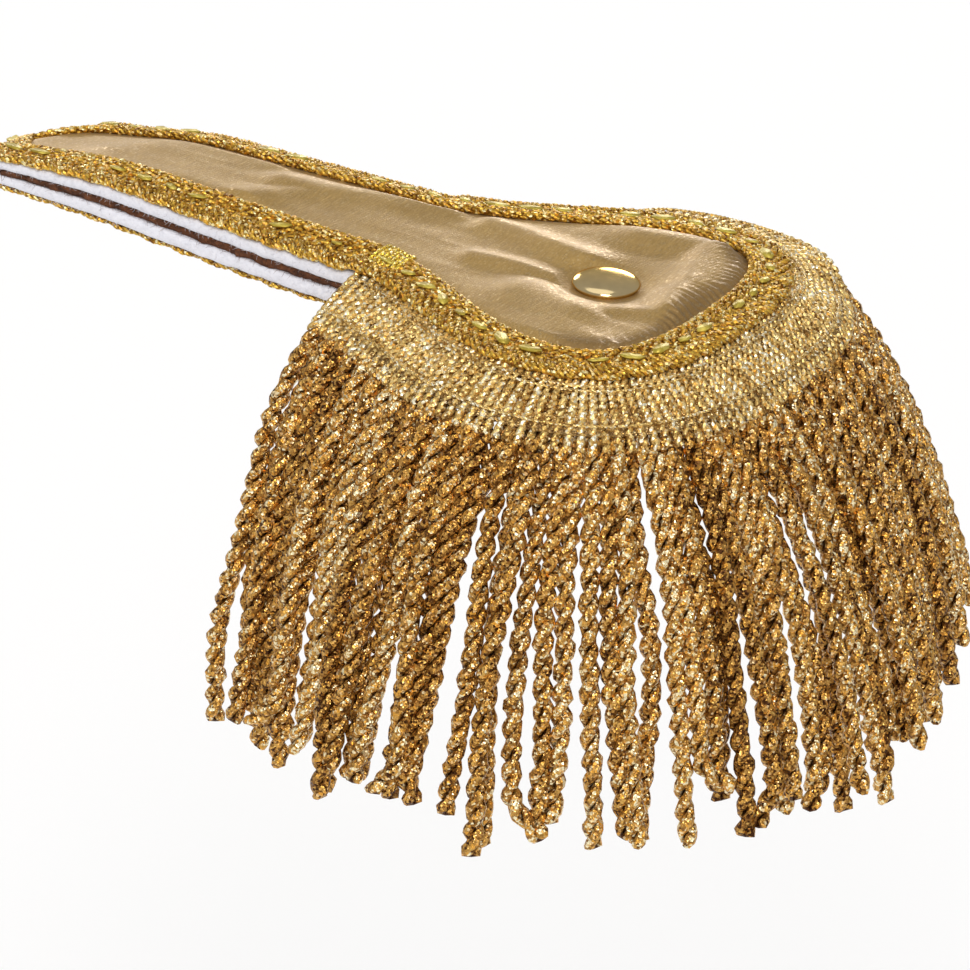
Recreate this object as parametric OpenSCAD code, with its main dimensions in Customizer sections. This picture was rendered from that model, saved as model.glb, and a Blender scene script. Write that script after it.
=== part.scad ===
// Fringed shoulder epaulette: a padded satin board edged with metal braid, a band of twisted
// cord fringe round its head, a domed stud, and a strap built up of white felt and a brown core.
// X runs along the strap towards the head, Y across it, Z up. The origin is on the underside,
// on the middle line, where the board sits on a shoulder.

/* [Board] */
// Length from the point of the strap to the front of the head, before the end leans
board_len = 187; // [176:1:230]
// Distance from the origin to the widest line of the head
head_x = 70; // [60:1:90]
// Width of the head
head_w = 86; // [78:1:96]
// Length of the head in front of its widest line
head_front = 29.5; // [27:0.5:40]
// Squareness of the head's front, where 2 is an ellipse
head_square = 2.6; // [2.2:0.1:3]
// Length of the flare between the strap and the head's widest line
neck_len = 54; // [46:1:60]
// Width of the strap at the neck
neck_w = 44.5; // [42:0.5:50]
// Width of the strap at the corners of its point
strap_w = 41; // [38:1:44]
// Length of the point
point_len = 18; // [18:1:30]
// How far the point hangs below the strap
point_droop = 12; // [0:0.5:13]
// How much further the -Y side of the strap's end reaches than its +Y side
end_lean = 17; // [0:1:18]
// How much higher the -Y side of the strap's end is than its +Y side
end_twist = 7; // [0:0.5:8]

/* [Layers] */
// Thickness of the lower felt
base_t = 3; // [2.6:0.1:4.5]
// Thickness of the brown core
core_t = 1.8; // [1.2:0.1:2.4]
// Thickness of the upper felt at its edge
pad_t = 3; // [2.4:0.1:4]
// Rise of the upper felt in the middle of the strap
strap_crown = 2.4; // [1.5:0.1:4]
// Rise of the upper felt in the middle of the head
head_crown = 2; // [1:0.1:4]
// How far the core is set back behind the felt
core_setback = 1.4; // [0.8:0.1:2]
// Thickness of the satin
satin_t = 1; // [0.8:0.1:1.4]

/* [Braid] */
// Width of the upper braid
braid_w = 10.5; // [9.5:0.5:13]
// Thickness of the upper braid
braid_t = 1.8; // [1.4:0.1:2.4]
// How far the upper braid reaches past the felt
braid_over = 1; // [0.5:0.1:1.4]
// Width of the braid under the board
under_w = 6; // [4:0.5:7]
// Thickness of the braid under the board
under_t = 1.1; // [0.8:0.1:1.6]

/* [Fringe] */
// Width of the woven heading outside the board
heading_w = 13.5; // [12:0.5:18]
// Thickness of the heading
heading_t = 1.6; // [1.2:0.1:2.2]
// Slope of the heading below the horizontal
heading_slope = 27; // [22:1:32]
// Number of locks, of two or three cords each
lock_count = 44; // [36:1:46]
// Mean length of a lock along its curve
lock_len = 83; // [75:1:100]
// Width of a lock along the edge
lock_w = 5.3; // [4.6:0.1:5.5]
// Thickness of a lock
lock_t = 3.8; // [3:0.1:4.4]
// Slope of a lock where it leaves the heading
lock_start_slope = 40; // [40:1:50]
// Slope of a lock at its end
lock_end_slope = 84; // [76:1:86]
// How far the locks hang towards the head, in degrees, as the board slopes down
fringe_tilt = 2; // [0:0.5:4]

/* [Stud] */
// Diameter of the dome
stud_d = 14.8; // [13:0.1:16]
// Height of the dome above its rim
dome_h = 2.1; // [1.6:0.1:4]
// Diameter of the post
post_d = 2.4; // [2:0.1:3]

/* [Hidden] */

layer_gap = 0.15;      // air between one layer and the next
satin_gap = 0.25;      // air between the upper felt and the satin
satin_clear = 0.5;     // air between the satin and the braid on it
satin_inset = 4;       // from the felt's edge to the satin's, under the braid
felt_edge = 0.7;       // radius of the felt's soft edges
tip_half_w = 1.5;      // half width at which the board's two ends are cut off square
bend_len = 45;         // length of the strap's end that bends down
neck_kink = 0.3;       // how sharply the flare leaves the strap, from 0 for smooth
stud_setback = 3.7;    // from the head's widest line back to the stud
stud_rim_h = 0.9;      // height of the stud's rolled rim
stud_edge = 0.38;      // radius of the dome's rounded edge, as a share of its height
stud_rim_in = 0.5;     // how far the rim is set in under the dome
stud_lift = 0.7;       // from the satin in the dimple up to the stud's rim
post_clear = 0.2;      // radial clearance of the stud's post
post_len = 4;          // length of the post
dimple_r = 11;         // radius over which the stud pulls the padding down
dimple_h = 1.3;        // depth of that dimple
heading_back = 3;      // from the start of the neck's flare to the end of the heading
heading_in = 2.2;      // width of the heading on the felt's rim
rim_t = 1.1;           // height of that part above the felt's edge
under_back = 0.2;      // how far the lower braid is set back from the felt's edge
neck_turn = 14;        // extra turn of the fringe towards the strap at its ends, in degrees
lock_curve = 43;       // length over which a lock turns from its first slope to its last
lock_uneven = 5;       // how much a lock's length varies each way
fan_fill = 0.85;       // share of the room between fanned locks that they fill
lock_waver = 1.2;      // how much a lock's end stands in or out each way

point_steps = 4;       // stations along each side of the point
strap_steps = 8;       // stations along each side of the strap
neck_steps = 9;        // stations along the neck's flare
front_steps = 13;      // stations round each side of the head's front
lock_steps = 6;        // lengths of each lock

point_x = head_x + head_front - board_len;
corner_x = point_x + point_len;
neck_x = head_x - neck_len;
bend_x = point_x + bend_len;
stud_x = head_x - stud_setback;
core_z = base_t + layer_gap;
pad_z = core_z + core_t + layer_gap;
edge_z = pad_z + pad_t;
heading_drop = heading_w * sin(heading_slope);
heading_reach = heading_w * cos(heading_slope);

// Small helpers
function mix(a, b, t) = a + (b - a) * t;
function unit(v) = v / norm(v);
function clamp01(t) = min(1, max(0, t));
function smooth(t) = t * t * (3 - 2 * t);
function power(a, n) = a <= 0 ? 0 : pow(a, n);
function last(v) = v[len(v) - 1];
function bell(d) = exp(-d * d);
function running(v, k = 0, sum = 0) =
    k == len(v) ? [] : concat([sum + v[k]], running(v, k + 1, sum + v[k]));

// Outline of the board
function flare(t) = smooth(t) + neck_kink * t * (1 - t) * (1 - t);
function half_w(x) =
    x < corner_x ? strap_w / 2 * (x - point_x) / point_len :
    x < neck_x ? mix(strap_w, neck_w, (x - corner_x) / (neck_x - corner_x)) / 2 :
    x < head_x ? mix(neck_w, head_w, flare((x - neck_x) / neck_len)) / 2 :
    head_w / 2 * power(1 - power((x - head_x) / head_front, head_square), 1 / head_square);

// Points of its +Y side from the neck to the front, with the direction into the board at each
head_side = concat(
    [for (k = [0:neck_steps]) let (x = mix(neck_x, head_x, k / neck_steps)) [x, half_w(x)]],
    [for (k = [1:front_steps]) let (a = 90 * k / front_steps, m = 2 / head_square)
        [head_x + head_front * power(sin(a), m), head_w / 2 * power(cos(a), m)]]);
head_end = len(head_side) - 1;
function inward(k) =
    k == head_end ? [-1, 0] :
    let (along = head_side[k + 1] - head_side[max(k - 1, 0)]) unit([along.y, -along.x]);
point_inward = unit([strap_w / 2, -point_len]);
strap_inward = unit([(neck_w - strap_w) / 2, corner_x - neck_x]);

// The +Y side inset by d, from the point, cut off square at a half width of blunt, to the front
function side(d, blunt = 0) =
    let (corner = [corner_x, strap_w / 2]
             + d * (point_inward + strap_inward) / (1 + point_inward * strap_inward),
         tip = mix([point_x + d / sin(atan2(strap_w / 2, point_len)), 0], corner, blunt / corner.y),
         head = [for (k = [0:head_end]) head_side[k] + d * inward(k)])
    concat([for (k = [0:point_steps - 1]) mix(tip, corner, k / point_steps)],
           [for (k = [0:strap_steps - 1]) mix(corner, head[0], k / strap_steps)], head);

// The whole outline inset by d: the -Y side to the front, and the +Y side back
function outline(d) =
    let (s = side(d), n = len(s))
    concat([for (p = s) [p.x, -p.y]], [for (k = [n - 2:-1:1]) s[k]]);

// Height that the bend at the strap's end adds
function bend(x) = x < bend_x ? -point_droop * pow((bend_x - x) / bend_len, 2) : 0;

// Place of a point once the strap's end leans and twists
function flexed(x, y, z) =
    let (side_share = smooth(clamp01((neck_x - x) / (neck_x - point_x))) * (strap_w / 2 - y) / strap_w)
    [x - end_lean * side_share, y, z + end_twist * side_share];

// Place across the board, from 0 on the middle line to 1 at the edge
function across(x, y) =
    x < head_x ? min(1, abs(y) / max(half_w(x), 1)) :
    min(1, power(power((x - head_x) / head_front, head_square)
        + power(2 * abs(y) / head_w, head_square), 1 / head_square));

// Top of the upper felt: domed across the strap, less so towards the point, flatter on the
// head, and dimpled at the stud
function pad_top(x, y) =
    let (head = smooth(clamp01((x - neck_x) / neck_len)),
         crown = mix(strap_crown, head_crown, head) * clamp01((x - point_x) / point_len),
         rise = crown * (1 - pow(across(x, y), mix(2, 3.4, head))),
         dimple = dimple_h * bell(norm([x - stud_x, y]) / dimple_r))
    edge_z + rise - dimple + bend(x);

// Folds of the satin: soft ridges between two points, measured from the stud
fold_from = 0;
fold_to = 1;
fold_width = 2;
fold_height = 3;
folds = [
    // from        to          width  height
    [[-34, 10.5], [-9, 7],     3.2,   1.3],
    [[-29, -6],   [-8, -4.5],  2.6,   1.1],
    [[-11, -15],  [2, -17],    5,     1.5],
    [[18, -6],    [11, 27],    3.4,   1.5],
    [[8, -12.5],  [18, -8],    2.6,   1],
    [[-6, 24],    [7, 28],     3.5,   1],
    [[-84, -9],   [-74, 4],    3.2,   0.8],
    [[-82, 3],    [-46, 11.5], 3.6,   1.2],
    [[-112, 9],   [-91, 11],   4,     0.9],
    [[-121, -3],  [-114, 7],   4.5,   0.8]];
function fold_rise(f, p) =
    let (from = f[fold_from], run = f[fold_to] - from, t = clamp01((p - from) * run / (run * run)))
    f[fold_height] * bell(norm(p - from - t * run) / f[fold_width]);

// Distance in from the outline, and the share of a fold's height that the braid and the stud,
// which hold the satin down, leave free
function edge_in(x, y) =
    x < head_x ? half_w(x) - abs(y) :
    let (a = max(across(x, y), 0.01)) norm([x - head_x, y]) * (1 - a) / a;
function satin_free(x, y) =
    smooth(clamp01((edge_in(x, y) - braid_w + braid_over) / 3.5))
    * smooth(clamp01((norm([x - stud_x, y]) - stud_d / 2) / 4));
function satin_folds(x, y) =
    satin_free(x, y) * max([for (f = folds) fold_rise(f, [x - stud_x, y])]);

// Solid skinned over closed loops of equal length: with two flat ends, or closed round a ring.
// Twisted layers are cut into triangles from their -Y to their +Y side, so that they lie alike.
module skin(loops, ring = false, layer = false) {
    n = len(loops[0]);
    m = len(loops);
    sides = [for (i = [0:m - (ring ? 1 : 2)], j = [0:n - 1])
        let (k = (j + 1) % n, next = ((i + 1) % m) * n, this = i * n)
        each layer && loops[i][j].y > loops[i][k].y
            ? [[this + j, this + k, next + j], [this + k, next + k, next + j]]
            : [[this + j, this + k, next + k], [this + j, next + k, next + j]]];
    ends = ring ? [] : [[for (j = [n - 1:-1:0]) j], [for (j = [0:n - 1]) (m - 1) * n + j]];
    polyhedron([for (loop = loops) each loop], concat(sides, ends), convexity = 8);
}

// A plate's section has a row for each point of one half, from its underside round to its top
row_inset = 0;         // how far the point's edge line is set in from the outline
row_share = 1;         // the point's place across, as a share of that line's half width
row_level = 2;         // the surface that its height is measured from
row_rise = 3;          // its height above that surface
FLAT = 0;              // the flat layers, which only follow the bend
PAD = 1;               // the top of the upper felt
SATIN = 2;             // the satin's underside, which lies on the felt and has the folds
function level_z(level, x, y) =
    level == FLAT ? bend(x) : pad_top(x, y) + (level == SATIN ? satin_gap + satin_folds(x, y) : 0);
module plate(rows) {
    edges = [for (row = rows) side(row[row_inset], tip_half_w)];
    skin([for (i = [0:len(edges[0]) - 1])
        let (half = [for (r = [0:len(rows) - 1]) let (row = rows[r], p = edges[r][i])
            [p.x, max(p.y, tip_half_w) * row[row_share], row]])
        [for (q = concat([for (h = half) [h.x, -h.y, h.z]],
                         [for (k = [len(half) - 1:-1:0]) if (half[k].y > 0) half[k]]))
            flexed(q.x, q.y, level_z(q.z[row_level], q.x, q.y) + q.z[row_rise])]], layer = true);
}

module lower_felt() color("white")
    plate([[felt_edge, 1, FLAT, 0], [0, 1, FLAT, base_t * 0.3],
           [0, 1, FLAT, base_t * 0.7], [felt_edge, 1, FLAT, base_t]]);

module brown_core() color("saddlebrown")
    plate([[core_setback, 1, FLAT, core_z], [core_setback, 1, FLAT, core_z + core_t]]);

// Hole for the stud's post, down into the upper felt
stud_z = pad_top(stud_x, 0) + satin_gap + satin_t + stud_lift;
module post_hole() translate([stud_x, 0, stud_z - post_len - 0.5])
    cylinder(d = post_d + 2 * post_clear, h = post_len + 4, $fn = 32);

module upper_felt() color("white") difference() {
    plate([[felt_edge, 1, FLAT, pad_z],
           [0, 1, FLAT, pad_z + pad_t * 0.3], [0, 1, FLAT, pad_z + pad_t * 0.7],
           for (share = [1, 0.8, 0.55, 0.28, 0]) [felt_edge, share, PAD, 0]]);
    post_hole();
}

module satin_panel() color([0.69, 0.56, 0.37]) difference() {
    plate([for (k = [0:8]) [satin_inset, k / 8, SATIN, 0],
           for (k = [8:-1:0]) [satin_inset, k / 8, SATIN, satin_t]]);
    post_hole();
}

// A braid's section has a row for each point: its inset, its height, and whether it is on the
// satin, where 0 is on the felt and 1 a satin's thickness higher
module braid_ring(rows, base) {
    loops = [for (row = rows) outline(row[0])];
    skin([for (i = [0:len(loops[0]) - 1]) [for (r = [0:len(rows) - 1])
        let (p = loops[r][i]) flexed(p.x, p.y, base == PAD ?
            pad_top(p.x, p.y) + rows[r][1] + mix(layer_gap, on_satin, max(rows[r][2], on_heading(p.x))) :
            bend(p.x) + rows[r][1] - layer_gap)]], ring = true);
}

// The upper braid lies on the felt along its outer edge and on the satin inside that. Round the
// head its outer edge lies on the heading instead, at the same height as on the satin.
on_satin = satin_gap + satin_t + satin_clear;
function on_heading(x) = clamp01((x - neck_x - heading_back + 5) / 4);
module gimp_braid() color("goldenrod") {
    inner = braid_w - braid_over;
    braid_ring([[-braid_over, 0.35, 0], [-braid_over, 0.8, 0], [0.8, braid_t, 0.6],
                [braid_w * 0.4, braid_t, 1], [inner - 1, braid_t * 0.9, 1], [inner, 0.4, 1],
                [inner, 0, 1], [satin_inset - 0.8, 0, 1], [satin_inset - 1.4, 0.15, 0], [0.4, 0.3, 0]], PAD);
}

module under_braid() color("goldenrod")
    braid_ring([[under_back, -under_t * 0.7, 0], [under_back, -under_t * 0.2, 0],
                [under_back + 0.4, 0, 0], [under_w, 0, 0], [under_w, -under_t * 0.7, 0],
                [under_w - 1, -under_t, 0], [under_back + 0.6, -under_t, 0]], FLAT);

// Edge of the board that carries the fringe: place, outward angle, and the angle at which the
// fringe hangs out from it, which turns steadily from one end to the other
edge_side = [for (k = [0:head_end]) if (head_side[k].x >= neck_x + heading_back)
    let (in = inward(k), out = atan2(-in.y, -in.x), t = clamp01((head_x - head_side[k].x) / neck_len))
    [head_side[k], out, head_side[k].x < head_x ? 90 + neck_turn * t : out]];
fringe_edge = concat([for (e = edge_side) [[e[0].x, -e[0].y], -e[1], -e[2]]],
                     [for (k = [len(edge_side) - 2:-1:0]) edge_side[k]]);
function out_dir(a) = [cos(a), sin(a)];

// Band swept along that edge. Each row is a distance out from the edge and a height
module edge_band(rows)
    skin([for (e = fringe_edge) [for (row = rows)
        let (p = e[0] + row[0] * out_dir(e[1])) [p.x, p.y, pad_top(e[0].x, e[0].y) + row[1]]]]);

// The woven heading lies on the felt's rim and slopes down outside it
module fringe_heading() color([0.72, 0.58, 0.3]) translate([0, 0, layer_gap])
    edge_band([[-heading_in, 0.45], [0.4, 0.1], [heading_reach, -heading_drop],
               [heading_reach + heading_t * 0.5, heading_t * 0.8 - heading_drop],
               [heading_reach * 0.5, heading_t - heading_drop * 0.5], [1.2, rim_t],
               [-heading_in, rim_t]]);

// Places of the locks, spaced evenly along the heading's outer edge
rail_line = [for (e = fringe_edge) e[0] + (heading_reach - 0.8) * out_dir(e[1])];
rail_runs = concat([0], running([for (k = [1:len(rail_line) - 1]) norm(rail_line[k] - rail_line[k - 1])]));
function rail_at(s, values) = lookup(s, [for (k = [0:len(rail_runs) - 1]) [rail_runs[k], values[k]]]);
function rail_x(s) = rail_at(s, [for (p = rail_line) p.x]);
function rail_y(s) = rail_at(s, [for (p = rail_line) p.y]);
function hang_angle(s) = rail_at(s, [for (e = fringe_edge) e[2]]);

// A value between -1 and 1 that looks uneven from lock to lock but is the same each time
function uneven(i, seed) = 0.6 * sin(137 * i + seed) + 0.4 * sin(61 * i + 2 * seed);

// Middle line of a lock as [distance out from its root, height below it]
function lock_slope(s) = mix(lock_end_slope, lock_start_slope, exp(-s / lock_curve));
function lock_line(length, waver) =
    let (step = length / lock_steps,
         slopes = [for (k = [0:lock_steps - 1]) lock_slope((k + 0.5) * step)],
         outs = concat([0], running([for (a = slopes) step * cos(a)])),
         downs = concat([0], running([for (a = slopes) step * sin(a)])))
    [for (k = [0:lock_steps]) [outs[k] + waver * pow(k / lock_steps, 2), downs[k]]];

// One lock: a flattened six-sided section run along its middle line, with a blunt end. Where
// the locks fan out round the head, each grows wider towards its end to fill its share.
root_drop = heading_drop + 1.6;
module lock(i) {
    pitch = last(rail_runs) / lock_count;
    s = pitch * (i + 0.5);
    out = out_dir(hang_angle(s));
    along = [-out.y, out.x];
    fan = (hang_angle(s + pitch / 2) - hang_angle(s - pitch / 2)) * PI / 180;
    length = lock_len + lock_uneven * uneven(i, 20);
    line = lock_line(length, lock_waver * uneven(i, 75));
    top = edge_z + layer_gap - root_drop;
    skin([for (k = [0:lock_steps])
        let (a = lock_slope(length * k / lock_steps), taper = k == lock_steps ? 0.7 : 1,
             c = [rail_x(s), rail_y(s)] + line[k].x * out,
             half_w = taper * (lock_w + fan_fill * fan * line[k].x) / 2, half_t = taper * lock_t / 2)
        [for (corner = [[-1, 0], [-0.6, 1], [0.6, 1], [1, 0], [0.6, -1], [-0.6, -1]])
            let (t = corner.y * half_t, p = c + corner.x * half_w * along + t * sin(a) * out)
            [p.x + line[k].y * tan(fringe_tilt), p.y, top - line[k].y + t * cos(a)]]]);
}

// Cord under the heading's outer edge that the locks hang from
module lock_rail()
    edge_band([[heading_reach - 3, 1.3 - heading_drop], [heading_reach - 3, -1.4 - heading_drop],
               [heading_reach + 0.8, -3.2 - heading_drop], [heading_reach + 1.6, -1.6 - heading_drop],
               [heading_reach + 0.5, -0.4 - heading_drop]]);

module fringe_skirt() color([0.6, 0.42, 0.16]) union() {
    lock_rail();
    for (i = [0:lock_count - 1]) lock(i);
}

// Domed stud with a rolled rim and a post into the padding
module stud() color("gold") translate([stud_x, 0, stud_z]) {
    r = stud_d / 2;
    edge_r = stud_edge * dome_h;
    in = r - edge_r;
    rise = dome_h - edge_r;
    ball_r = (in * in + rise * rise - edge_r * edge_r) / (2 * (rise - edge_r));
    rotate_extrude($fn = 96) intersection() {
        union() {
            translate([0, stud_rim_h]) {
                intersection() {
                    translate([0, dome_h - ball_r]) circle(r = ball_r, $fn = 288);
                    square([in * ball_r / (ball_r - edge_r), dome_h]);
                }
                translate([in, edge_r]) circle(r = edge_r, $fn = 32);
            }
            square([r - stud_rim_in, stud_rim_h]);
            translate([0, -post_len]) square([post_d / 2, post_len + 0.1]);
        }
        translate([0, -post_len]) square([r, post_len + stud_rim_h + dome_h]);
    }
}

satin_panel();
gimp_braid();
upper_felt();
brown_core();
lower_felt();
under_braid();
fringe_heading();
fringe_skirt();
stud();
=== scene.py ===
"""Looks of a fringed shoulder epaulette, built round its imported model.

Sizes are in millimetres unless a name says otherwise, and become metres when a mesh is made.
X runs along the strap towards the fringed head, Y across it and Z up.
"""

import logging
import math
from dataclasses import dataclass, field
from enum import Enum
from typing import Mapping, Sequence

import bpy
import numpy as np
from mathutils import Matrix, Vector, noise


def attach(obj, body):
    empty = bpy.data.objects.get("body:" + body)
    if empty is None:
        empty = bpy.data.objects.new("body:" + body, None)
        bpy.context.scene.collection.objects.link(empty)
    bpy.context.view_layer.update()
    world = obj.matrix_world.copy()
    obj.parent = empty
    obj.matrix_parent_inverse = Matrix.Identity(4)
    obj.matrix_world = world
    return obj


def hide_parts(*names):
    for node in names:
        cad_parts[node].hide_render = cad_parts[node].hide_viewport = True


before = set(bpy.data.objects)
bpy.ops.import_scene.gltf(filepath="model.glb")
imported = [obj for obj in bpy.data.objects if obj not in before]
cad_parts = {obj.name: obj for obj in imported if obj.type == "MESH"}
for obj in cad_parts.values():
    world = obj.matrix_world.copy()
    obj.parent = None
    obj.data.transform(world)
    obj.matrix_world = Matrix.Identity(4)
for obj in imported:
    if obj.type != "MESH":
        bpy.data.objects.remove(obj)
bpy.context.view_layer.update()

LOG = logging.getLogger("epaulette")
MM = 0.001
TURN = 2 * math.pi
Colour = tuple[float, float, float]
Lines = Sequence[np.ndarray]
UP = np.array([0.0, 0.0, 1.0])
# Places in the noise, far apart, that move a point along X, Y and Z
ROUGH_SHIFTS = (0.0, 31.7, 73.1)
PLIES = 2


# Small numbers


def mix(a: float, b: float, t: np.ndarray) -> np.ndarray:
    """Value between a and b at share t."""
    return a + (b - a) * t


def smooth(t: np.ndarray) -> np.ndarray:
    """Smooth step of t, held between 0 and 1."""
    t = np.clip(t, 0, 1)
    return t * t * (3 - 2 * t)


def bell(d: np.ndarray) -> np.ndarray:
    """Bell curve that is 1 at 0 and fades by about 2."""
    return np.exp(-(d**2))


def uneven(i: np.ndarray, seed: float) -> np.ndarray:
    """The source's uneven value between -1 and 1 for lock number i."""
    return 0.6 * np.sin(np.radians(137 * i + seed)) + 0.4 * np.sin(np.radians(61 * i + 2 * seed))


def along(line: np.ndarray) -> np.ndarray:
    """Running length at each point of a line of points."""
    return np.concatenate([[0], np.cumsum(np.linalg.norm(np.diff(line, axis=0), axis=1))])


def resampled(values: np.ndarray, runs: np.ndarray, at: np.ndarray) -> np.ndarray:
    """Columns of values, known at runs, read at the places in at."""
    return np.stack([np.interp(at, runs, column) for column in values.T], axis=-1)


def softened(line: np.ndarray, spread: float) -> np.ndarray:
    """A line with its corners rounded.

    Args:
        line: Points at an even step, with the first point repeated at the end.
        spread: Width of the rounding, in steps.

    Returns:
        The rounded line, still closed.
    """
    reach = int(3 * spread) + 1
    weights = bell(np.arange(-reach, reach + 1) / spread)
    weights /= weights.sum()
    ring = line[:-1]
    padded = np.concatenate([ring[-reach:], ring, ring[:reach]])
    rounded = np.stack([np.convolve(column, weights, "valid") for column in padded.T], axis=-1)
    return np.concatenate([rounded, rounded[:1]])


# Meshes


def make_object(name: str, points: np.ndarray, faces: Sequence[Sequence[int]] = (),
                edges: Sequence[tuple[int, int]] = ()) -> bpy.types.Object:
    """A mesh object at the origin.

    Args:
        name: Name of the object.
        points: Its points, in millimetres.
        faces: Point numbers of each face, anticlockwise seen from outside.
        edges: Point numbers of each loose edge.

    Returns:
        The object, shaded smooth and linked to the scene.
    """
    mesh = bpy.data.meshes.new(name)
    mesh.from_pydata((np.asarray(points) * MM).tolist(), list(edges), [list(f) for f in faces])
    mesh.update()
    mesh.shade_smooth()
    made = bpy.data.objects.new(name, mesh)
    bpy.context.scene.collection.objects.link(made)
    return made


def store(made: bpy.types.Object, name: str, values: np.ndarray) -> None:
    """Stores a value at each point of an object's mesh.

    Args:
        made: The object.
        name: Name of the value.
        values: A number or a vector for each point.
    """
    values = np.asarray(values, np.float32)
    kind, key = ("FLOAT", "value") if values.ndim == 1 else ("FLOAT_VECTOR", "vector")
    made.data.attributes.new(name, kind, "POINT").data.foreach_set(key, values.ravel())


def line_object(name: str, lines: Lines, **marks: Lines) -> bpy.types.Object:
    """An object of open lines with marks at their points.

    Args:
        name: Name of the object.
        lines: Points of each line, in millimetres.
        marks: For each mark, one array of values per line.

    Returns:
        The object, whose mesh has edges alone.
    """
    starts = np.cumsum([0] + [len(line) for line in lines])
    edges = [(a + k, a + k + 1) for a, line in zip(starts, lines) for k in range(len(line) - 1)]
    made = make_object(name, np.concatenate(lines), edges=edges)
    for mark, values in marks.items():
        store(made, mark, np.concatenate(values))
    return made


def skin(loops: np.ndarray) -> tuple[np.ndarray, list[list[int]]]:
    """Closed skin over loops of equal length, with a flat end on the first and the last.

    Args:
        loops: Points as an array of loops, points in a loop, and X, Y and Z.

    Returns:
        The points as one list, and the faces.
    """
    m, n = loops.shape[:2]
    i, j = np.meshgrid(np.arange(m - 1), np.arange(n), indexing="ij")
    k = (j + 1) % n
    sides = np.stack([i * n + j, (i + 1) * n + j, (i + 1) * n + k, i * n + k], axis=-1).reshape(-1, 4)
    ends = [list(range(n)), [(m - 1) * n + j for j in range(n - 1, -1, -1)]]
    return loops.reshape(-1, 3), sides.tolist() + ends


def roughened(points: np.ndarray, size: float, amount: float) -> np.ndarray:
    """Points moved by soft noise with lumps of that size, by up to about that amount."""
    moves = [[noise.noise(Vector(p / size + shift)) for shift in ROUGH_SHIFTS] for p in points]
    return points + amount * np.array(moves)


# Node trees


class Wiring:
    """Adds nodes to a tree and joins their sockets."""

    def __init__(self, tree: bpy.types.NodeTree) -> None:
        """Starts on an existing tree."""
        self.tree = tree

    def wire(self, socket: bpy.types.NodeSocket, value: object) -> None:
        """Sets or links an input socket.

        Args:
            socket: The socket.
            value: A plain value to set, or a node's output to link, or a node whose first output is linked.
        """
        if isinstance(value, bpy.types.Node):
            value = value.outputs[0]
        if isinstance(value, bpy.types.NodeSocket):
            self.tree.links.new(value, socket)
        elif socket.type == "RGBA":
            socket.default_value = (*value, 1.0)
        else:
            socket.default_value = value

    def add(self, kind: str, wires: Mapping[str | int, object] | None = None,
            **settings: object) -> bpy.types.Node:
        """Adds a node.

        Args:
            kind: Blender's name for the node's type.
            wires: A value, node or socket for each input, by its name or number.
            settings: Values of the node's own options.

        Returns:
            The node.
        """
        node = self.tree.nodes.new(kind)
        for key, value in settings.items():
            setattr(node, key, value)
        for key, value in (wires or {}).items():
            self.wire(node.inputs[key], value)
        return node

    def maths(self, operation: str, *values: object) -> bpy.types.NodeSocket:
        """Result of a number operation on one to three values."""
        return self.add("ShaderNodeMath", dict(enumerate(values)), operation=operation).outputs[0]

    def vectors(self, operation: str, *values: object) -> bpy.types.NodeSocket:
        """Result of a vector operation on one or two vectors."""
        node = self.add("ShaderNodeVectorMath", dict(enumerate(values)), operation=operation)
        return node.outputs["Value" if operation in ("LENGTH", "DISTANCE") else "Vector"]

    def scaled(self, vector: object, scale: object) -> bpy.types.NodeSocket:
        """A vector times a number."""
        return self.add("ShaderNodeVectorMath", {0: vector, "Scale": scale}, operation="SCALE").outputs[0]


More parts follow.
